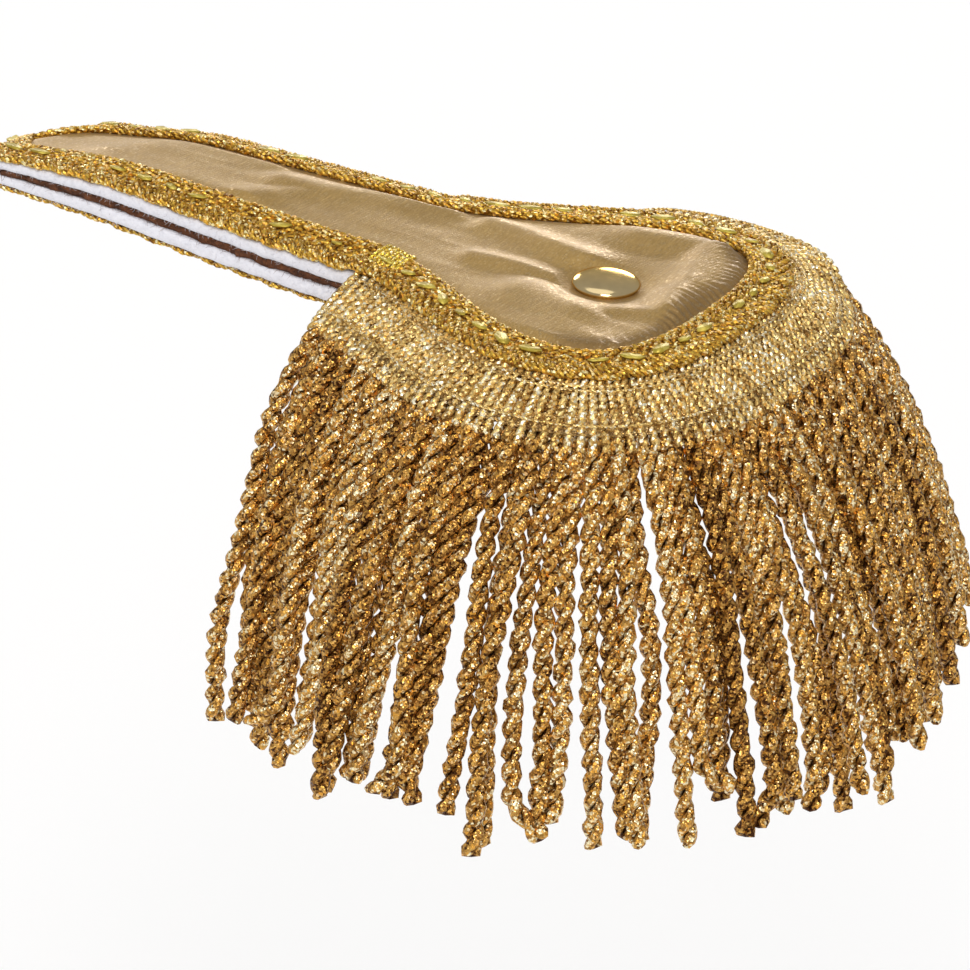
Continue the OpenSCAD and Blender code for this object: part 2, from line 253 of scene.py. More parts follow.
class Growth(Wiring):
    """A Geometry Nodes tree with named inputs, used to grow one piece from a base object."""

    def __init__(self, name: str) -> None:
        """Makes an empty tree with a base geometry and a finish.

        Args:
            name: Name of the tree.
        """
        super().__init__(bpy.data.node_groups.new(name, "GeometryNodeTree"))
        for socket, side in (("Base", "INPUT"), ("Result", "OUTPUT")):
            self.tree.interface.new_socket(socket, in_out=side, socket_type="NodeSocketGeometry")
        self.tree.interface.new_socket("Finish", in_out="INPUT", socket_type="NodeSocketMaterial")
        self.entry = self.tree.nodes.new("NodeGroupInput")
        self.exit = self.tree.nodes.new("NodeGroupOutput")

    def size(self, name: str, kind: str = "Float") -> bpy.types.NodeSocket:
        """A new named input of the tree, of kind Float, Int or Vector."""
        self.tree.interface.new_socket(name, in_out="INPUT", socket_type="NodeSocket" + kind)
        return self.entry.outputs[name]

    def joined(self, parts: Sequence[object]) -> bpy.types.Node:
        """Joins geometries.

        Args:
            parts: The nodes or sockets that give them.

        Returns:
            The node that gives them as one.
        """
        join = self.add("GeometryNodeJoinGeometry")
        for part in parts:
            self.wire(join.inputs[0], part)
        return join

    def marked(self, geometry: object, name: str, value: object, kind: str = "FLOAT") -> bpy.types.Node:
        """A geometry with a named value stored at its points."""
        return self.add("GeometryNodeStoreNamedAttribute",
                        {"Geometry": geometry, "Name": name, "Value": value}, data_type=kind, domain="POINT")

    def mark(self, name: str, kind: str = "FLOAT") -> bpy.types.NodeSocket:
        """A named value read from the points."""
        return self.add("GeometryNodeInputNamedAttribute", {"Name": name}, data_type=kind).outputs[0]

    def chance(self, low: float, high: float, seed: object) -> bpy.types.NodeSocket:
        """A random number for each element."""
        node = self.add("FunctionNodeRandomValue", {2: low, 3: high, "Seed": seed}, data_type="FLOAT")
        return node.outputs[1]

    def swing(self, reach: tuple[float, float, float], seed: object) -> bpy.types.NodeSocket:
        """Random angles for each element, up to reach either way."""
        node = self.add("FunctionNodeRandomValue", {0: tuple(-r for r in reach), 1: reach, "Seed": seed},
                        data_type="FLOAT_VECTOR")
        return node.outputs[0]

    def upright(self, ahead: object) -> bpy.types.Node:
        """Rotation that keeps Z up and turns X to a direction."""
        return self.add("FunctionNodeAxesToRotation", {"Primary Axis": (0.0, 0.0, 1.0), "Secondary Axis": ahead},
                        primary_axis="Z", secondary_axis="X")

    def lines(self, step: object) -> bpy.types.Node:
        """The base's lines as curves with points at an even step."""
        curve = self.add("GeometryNodeMeshToCurve", {"Mesh": self.entry.outputs["Base"]})
        return self.add("GeometryNodeResampleCurve", {"Curve": curve, "Length": step}, mode="LENGTH")

    def close(self, geometry: object) -> None:
        """Ends the tree in real geometry with its finish.

        Args:
            geometry: What the tree has made.
        """
        real = self.add("GeometryNodeRealizeInstances", {"Geometry": geometry})
        smoothed = self.add("GeometryNodeSetShadeSmooth", {"Geometry": real})
        wires = {"Geometry": smoothed, "Material": self.entry.outputs["Finish"]}
        self.wire(self.exit.inputs[0], self.add("GeometryNodeSetMaterial", wires))

    def grow(self, base: bpy.types.Object, name: str, finish: bpy.types.Material,
             sizes: Mapping[str, object], keep_base: bool = False) -> bpy.types.Object:
        """Runs the tree on a base object.

        Args:
            base: The object that the piece grows from.
            name: Name of the new object.
            finish: Its material.
            sizes: Value of each named input.
            keep_base: Whether the base object stays in the scene.

        Returns:
            A plain mesh object.
        """
        modifier = base.modifiers.new("growth", "NODES")
        modifier.node_group = self.tree
        for item in self.tree.interface.items_tree:
            if item.in_out == "INPUT" and item.name in sizes:
                modifier[item.identifier] = sizes[item.name]
            elif item.name == "Finish":
                modifier[item.identifier] = finish
        depsgraph = bpy.context.evaluated_depsgraph_get()
        mesh = bpy.data.meshes.new_from_object(
            base.evaluated_get(depsgraph), preserve_all_data_layers=True, depsgraph=depsgraph)
        base.modifiers.clear()
        if not keep_base:
            bpy.data.objects.remove(base)
        mesh.name = name
        made = bpy.data.objects.new(name, mesh)
        bpy.context.scene.collection.objects.link(made)
        return made


def twisted_cord() -> Growth:
    """Tree that lays two-ply cord along the base's lines.

    The base's points may carry a phase, as an angle, and a tint.

    Returns:
        The tree. Its result carries the value hollow, from 0 outside to 1 on the cord's axis.
    """
    tree = Growth("twisted_cord")
    step, ply, turn, pitch, cap = (tree.size(n) for n in ("Step", "Ply Radius", "Turn Radius", "Pitch", "Cap"))
    root_cap = tree.size("Root Cap")
    sides, lump, lump_size = tree.size("Sides", "Int"), tree.size("Lump"), tree.size("Lump Size")
    curve = tree.lines(step)
    length = tree.add("GeometryNodeSplineParameter").outputs["Length"]
    total = tree.add("GeometryNodeSplineLength").outputs["Length"]
    # Towards both ends the plies thin and draw together, along a quarter of a circle
    rest = tree.maths("MINIMUM", tree.maths("DIVIDE", length, root_cap),
                      tree.maths("DIVIDE", tree.maths("SUBTRACT", total, length), cap))
    gap = tree.maths("SUBTRACT", 1.0, tree.maths("MINIMUM", rest, 0.995))
    tip = tree.maths("SQRT", tree.maths("SUBTRACT", 1.0, tree.maths("MULTIPLY", gap, gap)))
    start = tree.maths("DIVIDE", tree.maths("MULTIPLY", length, TURN), pitch)
    start = tree.maths("ADD", start, tree.mark("phase"))
    normal = tree.add("GeometryNodeInputNormal").outputs["Normal"]
    side = tree.vectors("CROSS_PRODUCT", tree.add("GeometryNodeInputTangent"), normal)
    curve = tree.marked(curve, "axis", tree.add("GeometryNodeInputPosition"), "FLOAT_VECTOR")
    profile = tree.add("GeometryNodeCurvePrimitiveCircle", {"Resolution": sides, "Radius": ply})
    parts = []
    for k in range(PLIES):
        angle = tree.maths("ADD", start, k * TURN / PLIES)
        away = tree.vectors("ADD", tree.scaled(normal, tree.maths("COSINE", angle)),
                            tree.scaled(side, tree.maths("SINE", angle)))
        offset = tree.scaled(away, tree.maths("MULTIPLY", turn, tip))
        moved = tree.add("GeometryNodeSetPosition", {"Geometry": curve, "Offset": offset})
        lump_scale = tree.maths("DIVIDE", 1.0, lump_size)
        cloud = tree.add("ShaderNodeTexNoise", {"Scale": lump_scale, "Detail": 1.0})
        swell = tree.maths("MULTIPLY_ADD", tree.maths("SUBTRACT", cloud.outputs["Fac"], 0.5), lump, 1.0)
        thick = tree.maths("MULTIPLY", tip, tree.maths("MAXIMUM", swell, 0.3))
        parts.append(tree.add("GeometryNodeCurveToMesh",
                              {"Curve": moved, "Profile Curve": profile, "Scale": thick, "Fill Caps": True}))
    axis = tree.mark("axis", "FLOAT_VECTOR")
    away = tree.vectors("DISTANCE", tree.add("GeometryNodeInputPosition"), axis)
    hollow = tree.maths("SUBTRACT", 1.0, tree.maths("DIVIDE", away, tree.maths("ADD", turn, ply)))
    made = tree.marked(tree.joined(parts), "hollow", hollow)
    tree.close(tree.add("GeometryNodeRemoveAttribute", {"Geometry": made, "Name": "axis"}))
    return tree


@dataclass(frozen=True)
class Cord:
    """Sizes of a two-ply cord, whose ends round off over the length of a cap."""

    ply: float
    turn: float
    pitch: float = 3.4
    step: float = 0.6
    cap: float = 0.4
    root_cap: float = 0.4
    sides: int = 5
    lump: float = 1.0
    lump_size: float = 1.2

    def lay(self, base: bpy.types.Object, name: str, finish: bpy.types.Material) -> bpy.types.Object:
        """Lays the cord along every line of a base object.

        Args:
            base: The object, which is removed.
            name: Name of the piece.
            finish: Its material.

        Returns:
            The piece.
        """
        return twisted_cord().grow(base, name, finish, {
            "Step": self.step * MM, "Ply Radius": self.ply * MM, "Turn Radius": self.turn * MM,
            "Pitch": self.pitch * MM, "Cap": self.cap * MM, "Root Cap": self.root_cap * MM, "Sides": self.sides,
            "Lump": self.lump, "Lump Size": self.lump_size * MM})


def plait(threads: int) -> Growth:
    """Tree that plaits thread lines along the base's line.

    The base's points carry lateral, the vector from the plait's middle to its inner edge.

    Args:
        threads: Number of threads.

    Returns:
        The tree, whose result is lines that twisted_cord can follow.
    """
    tree = Growth("plait")
    step, repeat, lift = (tree.size(n) for n in ("Step", "Repeat", "Lift"))
    curve = tree.lines(step)
    share = tree.maths("DIVIDE", tree.add("GeometryNodeSplineParameter").outputs["Length"], repeat)
    parts = []
    for k in range(threads):
        angle = tree.maths("MULTIPLY", tree.maths("ADD", share, k / threads), TURN)
        over = tree.maths("MULTIPLY", tree.maths("SINE", tree.maths("MULTIPLY", angle, 2.0)), lift)
        across = tree.scaled(tree.mark("lateral", "FLOAT_VECTOR"), tree.maths("SINE", angle))
        offset = tree.vectors("ADD", across, tree.add("ShaderNodeCombineXYZ", {"Z": over}))
        moved = tree.add("GeometryNodeSetPosition", {"Geometry": curve, "Offset": offset})
        parts.append(tree.marked(moved, "phase", 1.7 * k))
    tree.close(tree.add("GeometryNodeCurveToMesh", {"Curve": tree.joined(parts)}))
    return tree


def ribs() -> Growth:
    """Tree that sets a bent rib line at even places along the base's line.

    The base's points carry out, the level direction in which a rib points, and fall, its share of the
    full slope.

    Returns:
        The tree, whose result is lines that twisted_cord can follow.
    """
    tree = Growth("ribs")
    spacing = tree.size("Spacing")
    start, middle, end = (tree.size("Rib " + n, "Vector") for n in ("Start", "Middle", "End"))
    seed = tree.size("Seed", "Int")
    curve = tree.lines(spacing)
    turn = tree.upright(tree.mark("out", "FLOAT_VECTOR"))
    rib = tree.add("GeometryNodeCurveQuadraticBezier",
                   {"Resolution": 12, "Start": start, "Middle": middle, "End": end})
    scale = tree.add("ShaderNodeCombineXYZ", {"X": 1.0, "Y": 1.0, "Z": tree.mark("fall")})
    set_out = tree.add("GeometryNodeInstanceOnPoints",
                       {"Points": curve, "Instance": rib, "Rotation": turn, "Scale": scale})
    real = tree.add("GeometryNodeRealizeInstances", {"Geometry": set_out})
    by_rib = tree.add("GeometryNodeFieldOnDomain", {0: tree.chance(0.0, 1.0, seed)}, data_type="FLOAT",
                      domain="CURVE")
    marked = tree.marked(real, "tint", tree.maths("SUBTRACT", by_rib, 0.5))
    tree.close(tree.add("GeometryNodeCurveToMesh", {"Curve": marked}))
    return tree


def flakes() -> Growth:
    """Tree that lays flat slanting flakes at even places along the base's line, some left out.

    Returns:
        The tree, whose result is the flakes.
    """
    tree = Growth("flakes")
    spacing, length, width, share = (tree.size(n) for n in ("Spacing", "Length", "Width", "Share"))
    seed = tree.size("Seed", "Int")
    curve = tree.lines(spacing)
    turn = tree.upright(tree.add("GeometryNodeInputTangent"))
    size = tree.add("ShaderNodeCombineXYZ", {"X": length, "Y": width, "Z": width})
    disc = tree.add("GeometryNodeMeshCylinder", {"Vertices": 6, "Radius": 0.5, "Depth": 0.12})
    flake = tree.add("GeometryNodeTransform", {"Geometry": disc.outputs["Mesh"], "Scale": size})
    kept = tree.add("FunctionNodeCompare", {0: tree.chance(0.0, 1.0, seed), 1: share}, operation="LESS_THAN")
    rotation = tree.add("FunctionNodeRotateRotation",
                        {"Rotation": turn, "Rotate By": tree.swing((0.12, 0.12, 0.5), seed)},
                        rotation_space="LOCAL")
    tree.close(tree.add("GeometryNodeInstanceOnPoints", {
        "Points": curve, "Selection": kept, "Instance": flake, "Rotation": rotation,
        "Scale": tree.chance(0.6, 1.25, seed)}))
    return tree


def fuzz() -> Growth:
    """Tree that sets short bent fibres on the base's faces where its points are marked edge.

    Returns:
        The tree. Its result is the fibres alone.
    """
    tree = Growth("fuzz")
    density, length, thickness = (tree.size(n) for n in ("Density", "Length", "Thickness"))
    seed = tree.size("Seed", "Int")
    points = tree.add("GeometryNodeDistributePointsOnFaces",
                      {"Mesh": tree.entry.outputs["Base"], "Seed": seed,
                       "Density": tree.maths("MULTIPLY", density, tree.mark("edge"))})
    line = tree.add("GeometryNodeCurvePrimitiveLine", {"End": (0.0, 0.0, 1.0)})
    line = tree.add("GeometryNodeResampleCurve", {"Curve": line, "Count": 3}, mode="COUNT")
    run = tree.add("GeometryNodeSplineParameter").outputs["Factor"]
    lean = tree.maths("MULTIPLY", tree.maths("MULTIPLY", run, run), 0.6)
    bent = tree.add("GeometryNodeSetPosition",
                    {"Geometry": line, "Offset": tree.add("ShaderNodeCombineXYZ", {"X": lean})})
    profile = tree.add("GeometryNodeCurvePrimitiveCircle",
                       {"Resolution": 3, "Radius": tree.maths("DIVIDE", thickness, length)})
    fibre = tree.add("GeometryNodeCurveToMesh", {
        "Curve": bent, "Profile Curve": profile, "Fill Caps": True,
        "Scale": tree.maths("SUBTRACT", 1.0, tree.maths("MULTIPLY", run, 0.7))})
    turn = tree.add("FunctionNodeRotateRotation",
                    {"Rotation": points.outputs["Rotation"], "Rotate By": tree.swing((1.0, 1.0, 3.1), seed)},
                    rotation_space="LOCAL")
    tree.close(tree.add("GeometryNodeInstanceOnPoints", {
        "Points": points.outputs["Points"], "Instance": fibre, "Rotation": turn,
        "Scale": tree.maths("MULTIPLY", tree.chance(0.4, 1.0, seed), length)}))
    return tree


# Finishes


class Shader(Wiring):
    """A material under construction, with patterns in the object's own place."""

    def __init__(self, name: str) -> None:
        """Makes a material with one surface shader.

        Args:
            name: Name of the material.
        """
        self.material = bpy.data.materials.new(name)
        self.material.use_nodes = True
        super().__init__(self.material.node_tree)
        self.surface = self.tree.nodes["Principled BSDF"]
        self.place = self.add("ShaderNodeTexCoord").outputs["Object"]

    def noise(self, size: float, detail: float = 2.0, place: object = None) -> bpy.types.Node:
        """Noise with lumps of a size in millimetres."""
        return self.add("ShaderNodeTexNoise",
                        {"Vector": place or self.place, "Scale": 1 / (size * MM), "Detail": detail})

    def cells(self, size: float) -> bpy.types.Node:
        """Cells of a size in millimetres."""
        return self.add("ShaderNodeTexVoronoi", {"Vector": self.place, "Scale": 1 / (size * MM)})

    def ramp(self, value: object, stops: Sequence[tuple[float, Colour]]) -> bpy.types.Node:
        """Colours that a value picks.

        Args:
            value: A number from 0 to 1.
            stops: Places from 0 to 1, each with its colour.

        Returns:
            The node that gives the colour.
        """
        node = self.add("ShaderNodeValToRGB", {"Fac": value})
        for k, (place, colour) in enumerate(stops):
            stop = node.color_ramp.elements[k] if k < 2 else node.color_ramp.elements.new(place)
            stop.position = place
            stop.color = (*colour, 1)
        return node

    def blended(self, share: object, a: object, b: object, mode: str = "MIX") -> bpy.types.NodeSocket:
        """Two colours blended by a share."""
        return self.add("ShaderNodeMix", {0: share, 6: a, 7: b}, data_type="RGBA", blend_type=mode).outputs[2]

    def ranged(self, value: object, low: float, high: float, to_low: float = 0.0,
               to_high: float = 1.0) -> bpy.types.Node:
        """A value brought from one range to another, and held in it."""
        return self.add("ShaderNodeMapRange", {"Value": value, "From Min": low, "From Max": high,
                                               "To Min": to_low, "To Max": to_high})

    def bumps(self, *layers: tuple[object, float, float]) -> None:
        """Adds relief to the surface.

        Args:
            layers: For each layer its height, its strength, and its depth in millimetres.
        """
        below = None
        for height, strength, depth in layers:
            bump = self.add("ShaderNodeBump", {"Height": height, "Strength": strength, "Distance": depth * MM})
            if below is not None:
                self.wire(bump.inputs["Normal"], below)
            below = bump
        self.wire(self.surface.inputs["Normal"], below)

    def attribute(self, name: str) -> bpy.types.NodeSocket:
        """A number stored at the mesh's points."""
        return self.add("ShaderNodeAttribute", attribute_type="GEOMETRY", attribute_name=name).outputs["Fac"]

    def set(self, **values: object) -> None:
        """Sets inputs of the surface shader, with spaces in their names as underscores."""
        for key, value in values.items():
            self.wire(self.surface.inputs[key.replace("_", " ")], value)


@dataclass(frozen=True)
class MetalThread:
    """Foil thread whose facets catch the light one by one, with painted glints on a few facets and painted shade in
    the grooves between its plies.
    """

    name: str
    deep: Colour
    body: Colour
    bright: Colour
    warm: Colour
    glint: Colour
    facet: float = 0.4
    metallic: float = 0.85
    relief: float = 0.8
    groove_shade_from: float = 0.3
    glints: float = 0.9
    gloss: tuple[float, float] = (0.22, 0.5)

    def material(self) -> bpy.types.Material:
        """Makes the finish.

        Returns:
            Its material.
        """
        shader = Shader(self.name)
        facets = shader.cells(self.facet)
        split = shader.add("ShaderNodeSeparateColor", {"Color": facets.outputs["Color"]})
        cloud = shader.noise(self.facet * 7).outputs["Fac"]
        patches = shader.maths("MULTIPLY", shader.maths("SUBTRACT", cloud, 0.5), 0.5)
        pick = shader.maths("ADD", split.outputs[0], patches)
        pick = shader.maths("ADD", pick, shader.maths("MULTIPLY", shader.attribute("tint"), 0.35))
        # The glint stop paints pale glints on a few random facets
        colour = shader.ramp(pick, [(0.0, self.deep), (0.28, self.body), (0.62, self.bright), (0.78, self.warm),
                                    (self.glints, self.glint)])
        # Painted shade: towards the cord's axis, in the grooves between the plies, the colour darkens to the deep
        # colour
        shade = shader.ranged(shader.attribute("hollow"), self.groove_shade_from, self.groove_shade_from + 0.35)
        shader.set(Base_Color=shader.blended(shade.outputs[0], colour, self.deep), Metallic=self.metallic,
                   Roughness=shader.ranged(split.outputs[1], 0, 1, *self.gloss))
        shader.bumps((shader.noise(self.facet * 2.5).outputs["Fac"], 0.5, self.facet),
                     (facets.outputs["Distance"], self.relief, self.facet * 0.6))
        return shader.material


@dataclass(frozen=True)
class Satin:
    """Metallic satin with a fine slanting weave."""

    name: str = "gold_satin"
    low: Colour = (0.365, 0.225, 0.066)
    high: Colour = (0.485, 0.31, 0.1)
    # Colour of the painted shade round the front of the head
    painted_shade: Colour = (0.2, 0.11, 0.035)
    spark: Colour = (0.95, 0.79, 0.52)
    pick: float = 0.5
    spark_size: float = 0.42
    spark_share: float = 0.18

    def material(self) -> bpy.types.Material:
        """Makes the finish.

        Returns:
            Its material.
        """
        shader = Shader(self.name)
        slant = shader.add("ShaderNodeMapping", {"Vector": shader.place, "Rotation": (0.0, 0.0, 0.9),
                                                 "Scale": (1.0, 0.16, 1.0)})
        slubs = shader.noise(self.pick, 3.0, slant).outputs["Fac"]
        cloud = shader.noise(14.0).outputs["Fac"]
        weave = shader.add("ShaderNodeTexWave", {"Vector": slant, "Scale": 0.314 / (self.pick * MM),
                                                 "Distortion": 3.0, "Detail": 1.0})
        tone = shader.maths("ADD", shader.maths("MULTIPLY", slubs, 0.7), shader.maths("MULTIPLY", cloud, 0.3))
        cloth = shader.ramp(tone, [(0.35, self.low), (0.65, self.high)])
        # Painted shade: round the front the satin darkens towards the painted shade colour, by the stored share
        colour = shader.blended(shader.attribute("painted_front_shade"), cloth, self.painted_shade)
        # Painted sparkle: a few random cells take the pale spark colour, and are also more metallic and glossier
        facets = shader.add("ShaderNodeSeparateColor", {"Color": shader.cells(self.spark_size).outputs["Color"]})
        sparks = shader.ranged(facets.outputs[0], 0.8, 0.97).outputs[0]
        lit = shader.maths("MULTIPLY", sparks, self.spark_share)
        shader.set(Base_Color=shader.blended(lit, colour, self.spark),
                   Metallic=shader.ranged(sparks, 0.0, 1.0, 0.45, 0.9),
                   Roughness=shader.ranged(sparks, 0.0, 1.0, 0.5, 0.3), Sheen_Weight=0.06)
        grain = shader.noise(0.32, 2.0).outputs["Fac"]
        shader.bumps((slubs, 0.5, 0.14), (weave.outputs["Fac"], 0.35, 0.06), (grain, 0.65, 0.11))
        return shader.material


@dataclass(frozen=True)
class Felt:
    """Matted fibre, lighter on the tops of its lumps and darker in the dips, which is painted shade."""

    name: str
    low: Colour
    high: Colour
    lump: float = 1.1
    relief: float = 0.6
    sheen: float = 0.25

    def material(self) -> bpy.types.Material:
        """Makes the finish.

        Returns:
            Its material.
        """
        shader = Shader(self.name)
        lumps = shader.noise(self.lump, 4.0).outputs["Fac"]
        fibre = shader.noise(self.lump * 0.22, 3.0).outputs["Fac"]
        # Painted shade: the noise that raises the lumps and fibres also makes their tops lighter and the dips
        # darker
        tone = shader.maths("ADD", shader.maths("MULTIPLY", lumps, 0.5), shader.maths("MULTIPLY", fibre, 0.5))
        shader.set(Base_Color=shader.ramp(tone, [(0.35, self.low), (0.65, self.high)]), Roughness=0.95,
                   Sheen_Weight=self.sheen)
        shader.bumps((lumps, self.relief, 0.3), (fibre, self.relief, 0.12))
        return shader.material


@dataclass(frozen=True)
class PolishedBrass:
    """Pale lacquered metal with faint smears."""

    name: str = "pale_brass"
    colour: Colour = (0.8, 0.62, 0.33)

    def material(self) -> bpy.types.Material:
        """Makes the finish.

        Returns:
            Its material.
        """
        shader = Shader(self.name)
        smear = shader.noise(3.0, 3.0).outputs["Fac"]
        dull = tuple(0.9 * c for c in self.colour)
        shader.set(Base_Color=shader.ramp(smear, [(0.3, dull), (0.7, self.colour)]), Metallic=1.0,
                   Roughness=shader.ranged(smear, 0.3, 0.7, 0.11, 0.17), Specular_Tint=(0.85, 0.66, 0.38))
        shader.bumps((smear, 0.05, 0.05))
        return shader.material


class Finish(Enum):
    """The finishes of the epaulette's pieces."""

    SATIN = Satin()
    BRAID = MetalThread("braid_thread", (0.19, 0.07, 0.008), (0.5, 0.28, 0.035), (0.78, 0.51, 0.085),
                        (0.82, 0.4, 0.04), (1.0, 0.88, 0.46), facet=0.55, relief=0.5, groove_shade_from=0.24, glints=0.93,
                        gloss=(0.34, 0.58))
    # The band under the braid is a darker copy of the braid's thread, as painted shade between the threads
    BRAID_BACK = MetalThread("braid_backing", (0.1, 0.04, 0.006), (0.36, 0.2, 0.04), (0.55, 0.36, 0.08),
                             (0.6, 0.34, 0.05), (0.9, 0.75, 0.4), facet=0.6, relief=1.0)
    FLAKE = MetalThread("braid_flake", (0.4, 0.29, 0.03), (0.5, 0.38, 0.045), (0.6, 0.47, 0.07), (0.56, 0.42, 0.05),
                        (0.7, 0.56, 0.11), facet=2.0, relief=0.1, metallic=0.4, gloss=(0.4, 0.55))
    HEADING = MetalThread("heading_thread", (0.26, 0.13, 0.03), (0.68, 0.45, 0.14), (0.94, 0.72, 0.31),
                          (0.94, 0.6, 0.16), (1.0, 0.95, 0.74), facet=0.55, relief=0.55, gloss=(0.32, 0.56))
    # The band under the heading's ribs is a darker copy of their thread, as painted shade between the ribs
    HEADING_BACK = MetalThread("heading_backing", (0.12, 0.05, 0.015), (0.34, 0.2, 0.07), (0.48, 0.31, 0.12),
                               (0.5, 0.28, 0.07), (0.7, 0.55, 0.28), facet=0.6, relief=1.0)
    BULLION = MetalThread("bullion_thread", (0.065, 0.021, 0.004), (0.385, 0.18, 0.036), (0.72, 0.425, 0.11),
                          (0.85, 0.4, 0.05), (1.0, 0.88, 0.56), facet=0.52, relief=0.8, groove_shade_from=0.26,
                          gloss=(0.27, 0.52))
    TACK = MetalThread("tack_thread", (0.5, 0.3, 0.02), (0.8, 0.55, 0.05), (0.95, 0.75, 0.15), (0.95, 0.65, 0.08),
                       (1.0, 0.95, 0.6))
    WHITE_FELT = Felt("matted_felt", (0.74, 0.74, 0.8), (0.86, 0.85, 0.9))
    BROWN_CORE = Felt("brown_wadding", (0.03, 0.009, 0.003), (0.2, 0.068, 0.022), lump=1.6, relief=1.0,
                      sheen=0.0)
    STUD = PolishedBrass()

    def material(self) -> bpy.types.Material:
        """The finish's material, made once."""
        found = bpy.data.materials.get(self.value.name)
        return found or self.value.material()


def dress(piece: bpy.types.Object, finish: Finish, slot: str, *nodes: str) -> bpy.types.Object:
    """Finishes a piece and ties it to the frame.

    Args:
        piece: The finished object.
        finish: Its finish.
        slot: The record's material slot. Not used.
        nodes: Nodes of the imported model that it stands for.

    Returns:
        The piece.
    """
    piece.data.materials.clear()
    piece.data.materials.append(finish.material())
    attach(piece, "root")
    if nodes:
        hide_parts(*nodes)
    LOG.info("%s: %d faces", piece.name, len(piece.data.polygons))
    return piece


# The board's shape, shared by its pieces


class Level(Enum):
    """Surface that a height is measured from."""

    FLAT = "flat"
    PAD = "pad"


@dataclass(frozen=True)
class Board:
    """Outline and levels of the padded board."""

    # Outline: the head, the neck that flares into it, the strap and its point
    length: float = 190.0
    head_x: float = 70.0
    head_w: float = 86.0
    head_front: float = 29.5
    head_square: float = 2.6
    neck_len: float = 54.0
    neck_w: float = 44.5
    neck_kink: float = 0.3
    strap_w: float = 41.0
    point_len: float = 17.0
    blunt: float = 1.5
    # Levels: the padding's edge, its crown, and the dimple that the stud makes
    edge_z: float = 8.1
    strap_crown: float = 2.4
    head_crown: float = 2.0
    stud_x: float = 66.3
    stud_r: float = 7.4
    dimple_r: float = 11.0
    dimple_h: float = 1.3
    braid_in: float = 9.5
    # The strap's end: its bend, and how it leans, twists and is pressed thin on the -Y side
    bend_len: float = 50.0
    level_len: float = 15.0
    point_droop: float = 3.8
    point_sag: float = 6.0
    near_stiff: float = 0.7
    end_lean: float = 8.0
    end_twist: float = 5.4
    end_press: float = 0.42
    press_level: float = 1.2
    press_more: float = 8.0

    @property
    def point_x(self) -> float:
        """X of the strap's point."""
        return self.head_x + self.head_front - self.length

    @property
    def corner_x(self) -> float:
        """X of the corners at the strap's point."""
        return self.point_x + self.point_len

    @property
    def neck_x(self) -> float:
        """X where the neck starts to flare."""
        return self.head_x - self.neck_len

    def half_w(self, x: np.ndarray) -> np.ndarray:
        """Half width of the board.

        Args:
            x: Places along it.

        Returns:
            The half width at each.
        """
        t = np.clip((x - self.neck_x) / self.neck_len, 0, 1)
        flare = smooth(t) + self.neck_kink * t * (1 - t) ** 2
        strap = mix(self.strap_w, self.neck_w, (x - self.corner_x) / (self.neck_x - self.corner_x)) / 2
        front = np.clip((x - self.head_x) / self.head_front, 0, 1)
        head = self.head_w / 2 * (1 - front**self.head_square) ** (1 / self.head_square)
        point = self.strap_w / 2 * (x - self.point_x) / self.point_len
        return np.select([x < self.corner_x, x < self.neck_x, x < self.head_x],
                         [point, strap, mix(self.neck_w, self.head_w, flare) / 2], head)

    def bend(self, x: np.ndarray) -> np.ndarray:
        """Height that the bend at the strap's end adds, with the soft point sagging a little more.

        Args:
            x: Places along the board.

        Returns:
            The height at each, 0 or below.
        """
        sag = self.point_sag * smooth((self.corner_x - x) / self.point_len)
        bent = smooth((self.point_x + self.bend_len - x) / (self.bend_len - self.level_len))
        return -sag - self.point_droop * bent

    def flexed(self, points: np.ndarray) -> np.ndarray:
        """Flexes the strap's end, which leans and twists, bends less on the -Y side, and is pressed thin there.

        Args:
            points: Points of the flat board.

        Returns:
            The moved points.
        """
        x, y, z = points[..., 0], points[..., 1], points[..., 2]
        near = (self.strap_w / 2 - y) / self.strap_w
        end = smooth((self.neck_x - x) / (self.neck_x - self.point_x))
        pressed_len = self.bend_len + self.press_more
        press = self.end_press * near * smooth((self.point_x + pressed_len - x) / pressed_len)
        moves = (end * near)[..., None] * (-self.end_lean, 0.0, 0.0)
        moves[..., 2] += near**2 * (end * self.end_twist - self.near_stiff * self.bend(x))
        moves[..., 2] -= press * (z - self.bend(x) - self.press_level)
        return points + moves

    def across(self, x: np.ndarray, y: np.ndarray) -> np.ndarray:
        """Place across the board.

        Args:
            x: Places along it.
            y: Places off its middle line.

        Returns:
            From 0 on the middle line to 1 at the edge.
        """
        n = self.head_square
        round_end = (np.clip((x - self.head_x) / self.head_front, 0, None) ** n
                     + np.abs(2 * y / self.head_w) ** n) ** (1 / n)
        return np.minimum(1, np.where(x < self.head_x, np.abs(y) / np.maximum(self.half_w(x), 1), round_end))

    def edge_in(self, x: np.ndarray, y: np.ndarray) -> np.ndarray:
        """Distance in from the outline.

        Args:
            x: Places along the board.
            y: Places off its middle line.

        Returns:
            The distance at each.
        """
        across = np.maximum(self.across(x, y), 0.01)
        ahead = np.hypot(x - self.head_x, y) * (1 - across) / across
        return np.where(x < self.head_x, self.half_w(x) - np.abs(y), ahead)

    def satin_free(self, x: np.ndarray, y: np.ndarray) -> np.ndarray:
        """Share of a fold's height that the braid and the stud, which hold the satin down, leave free."""
        from_stud = np.hypot(x - self.stud_x, y) - self.stud_r
        return smooth((self.edge_in(x, y) - self.braid_in) / 3.5) * smooth(from_stud / 4)

    def head_share(self, x: np.ndarray) -> np.ndarray:
        """Share of the way from the strap to the head, from 0 to 1."""
        return smooth((x - self.neck_x) / self.neck_len)

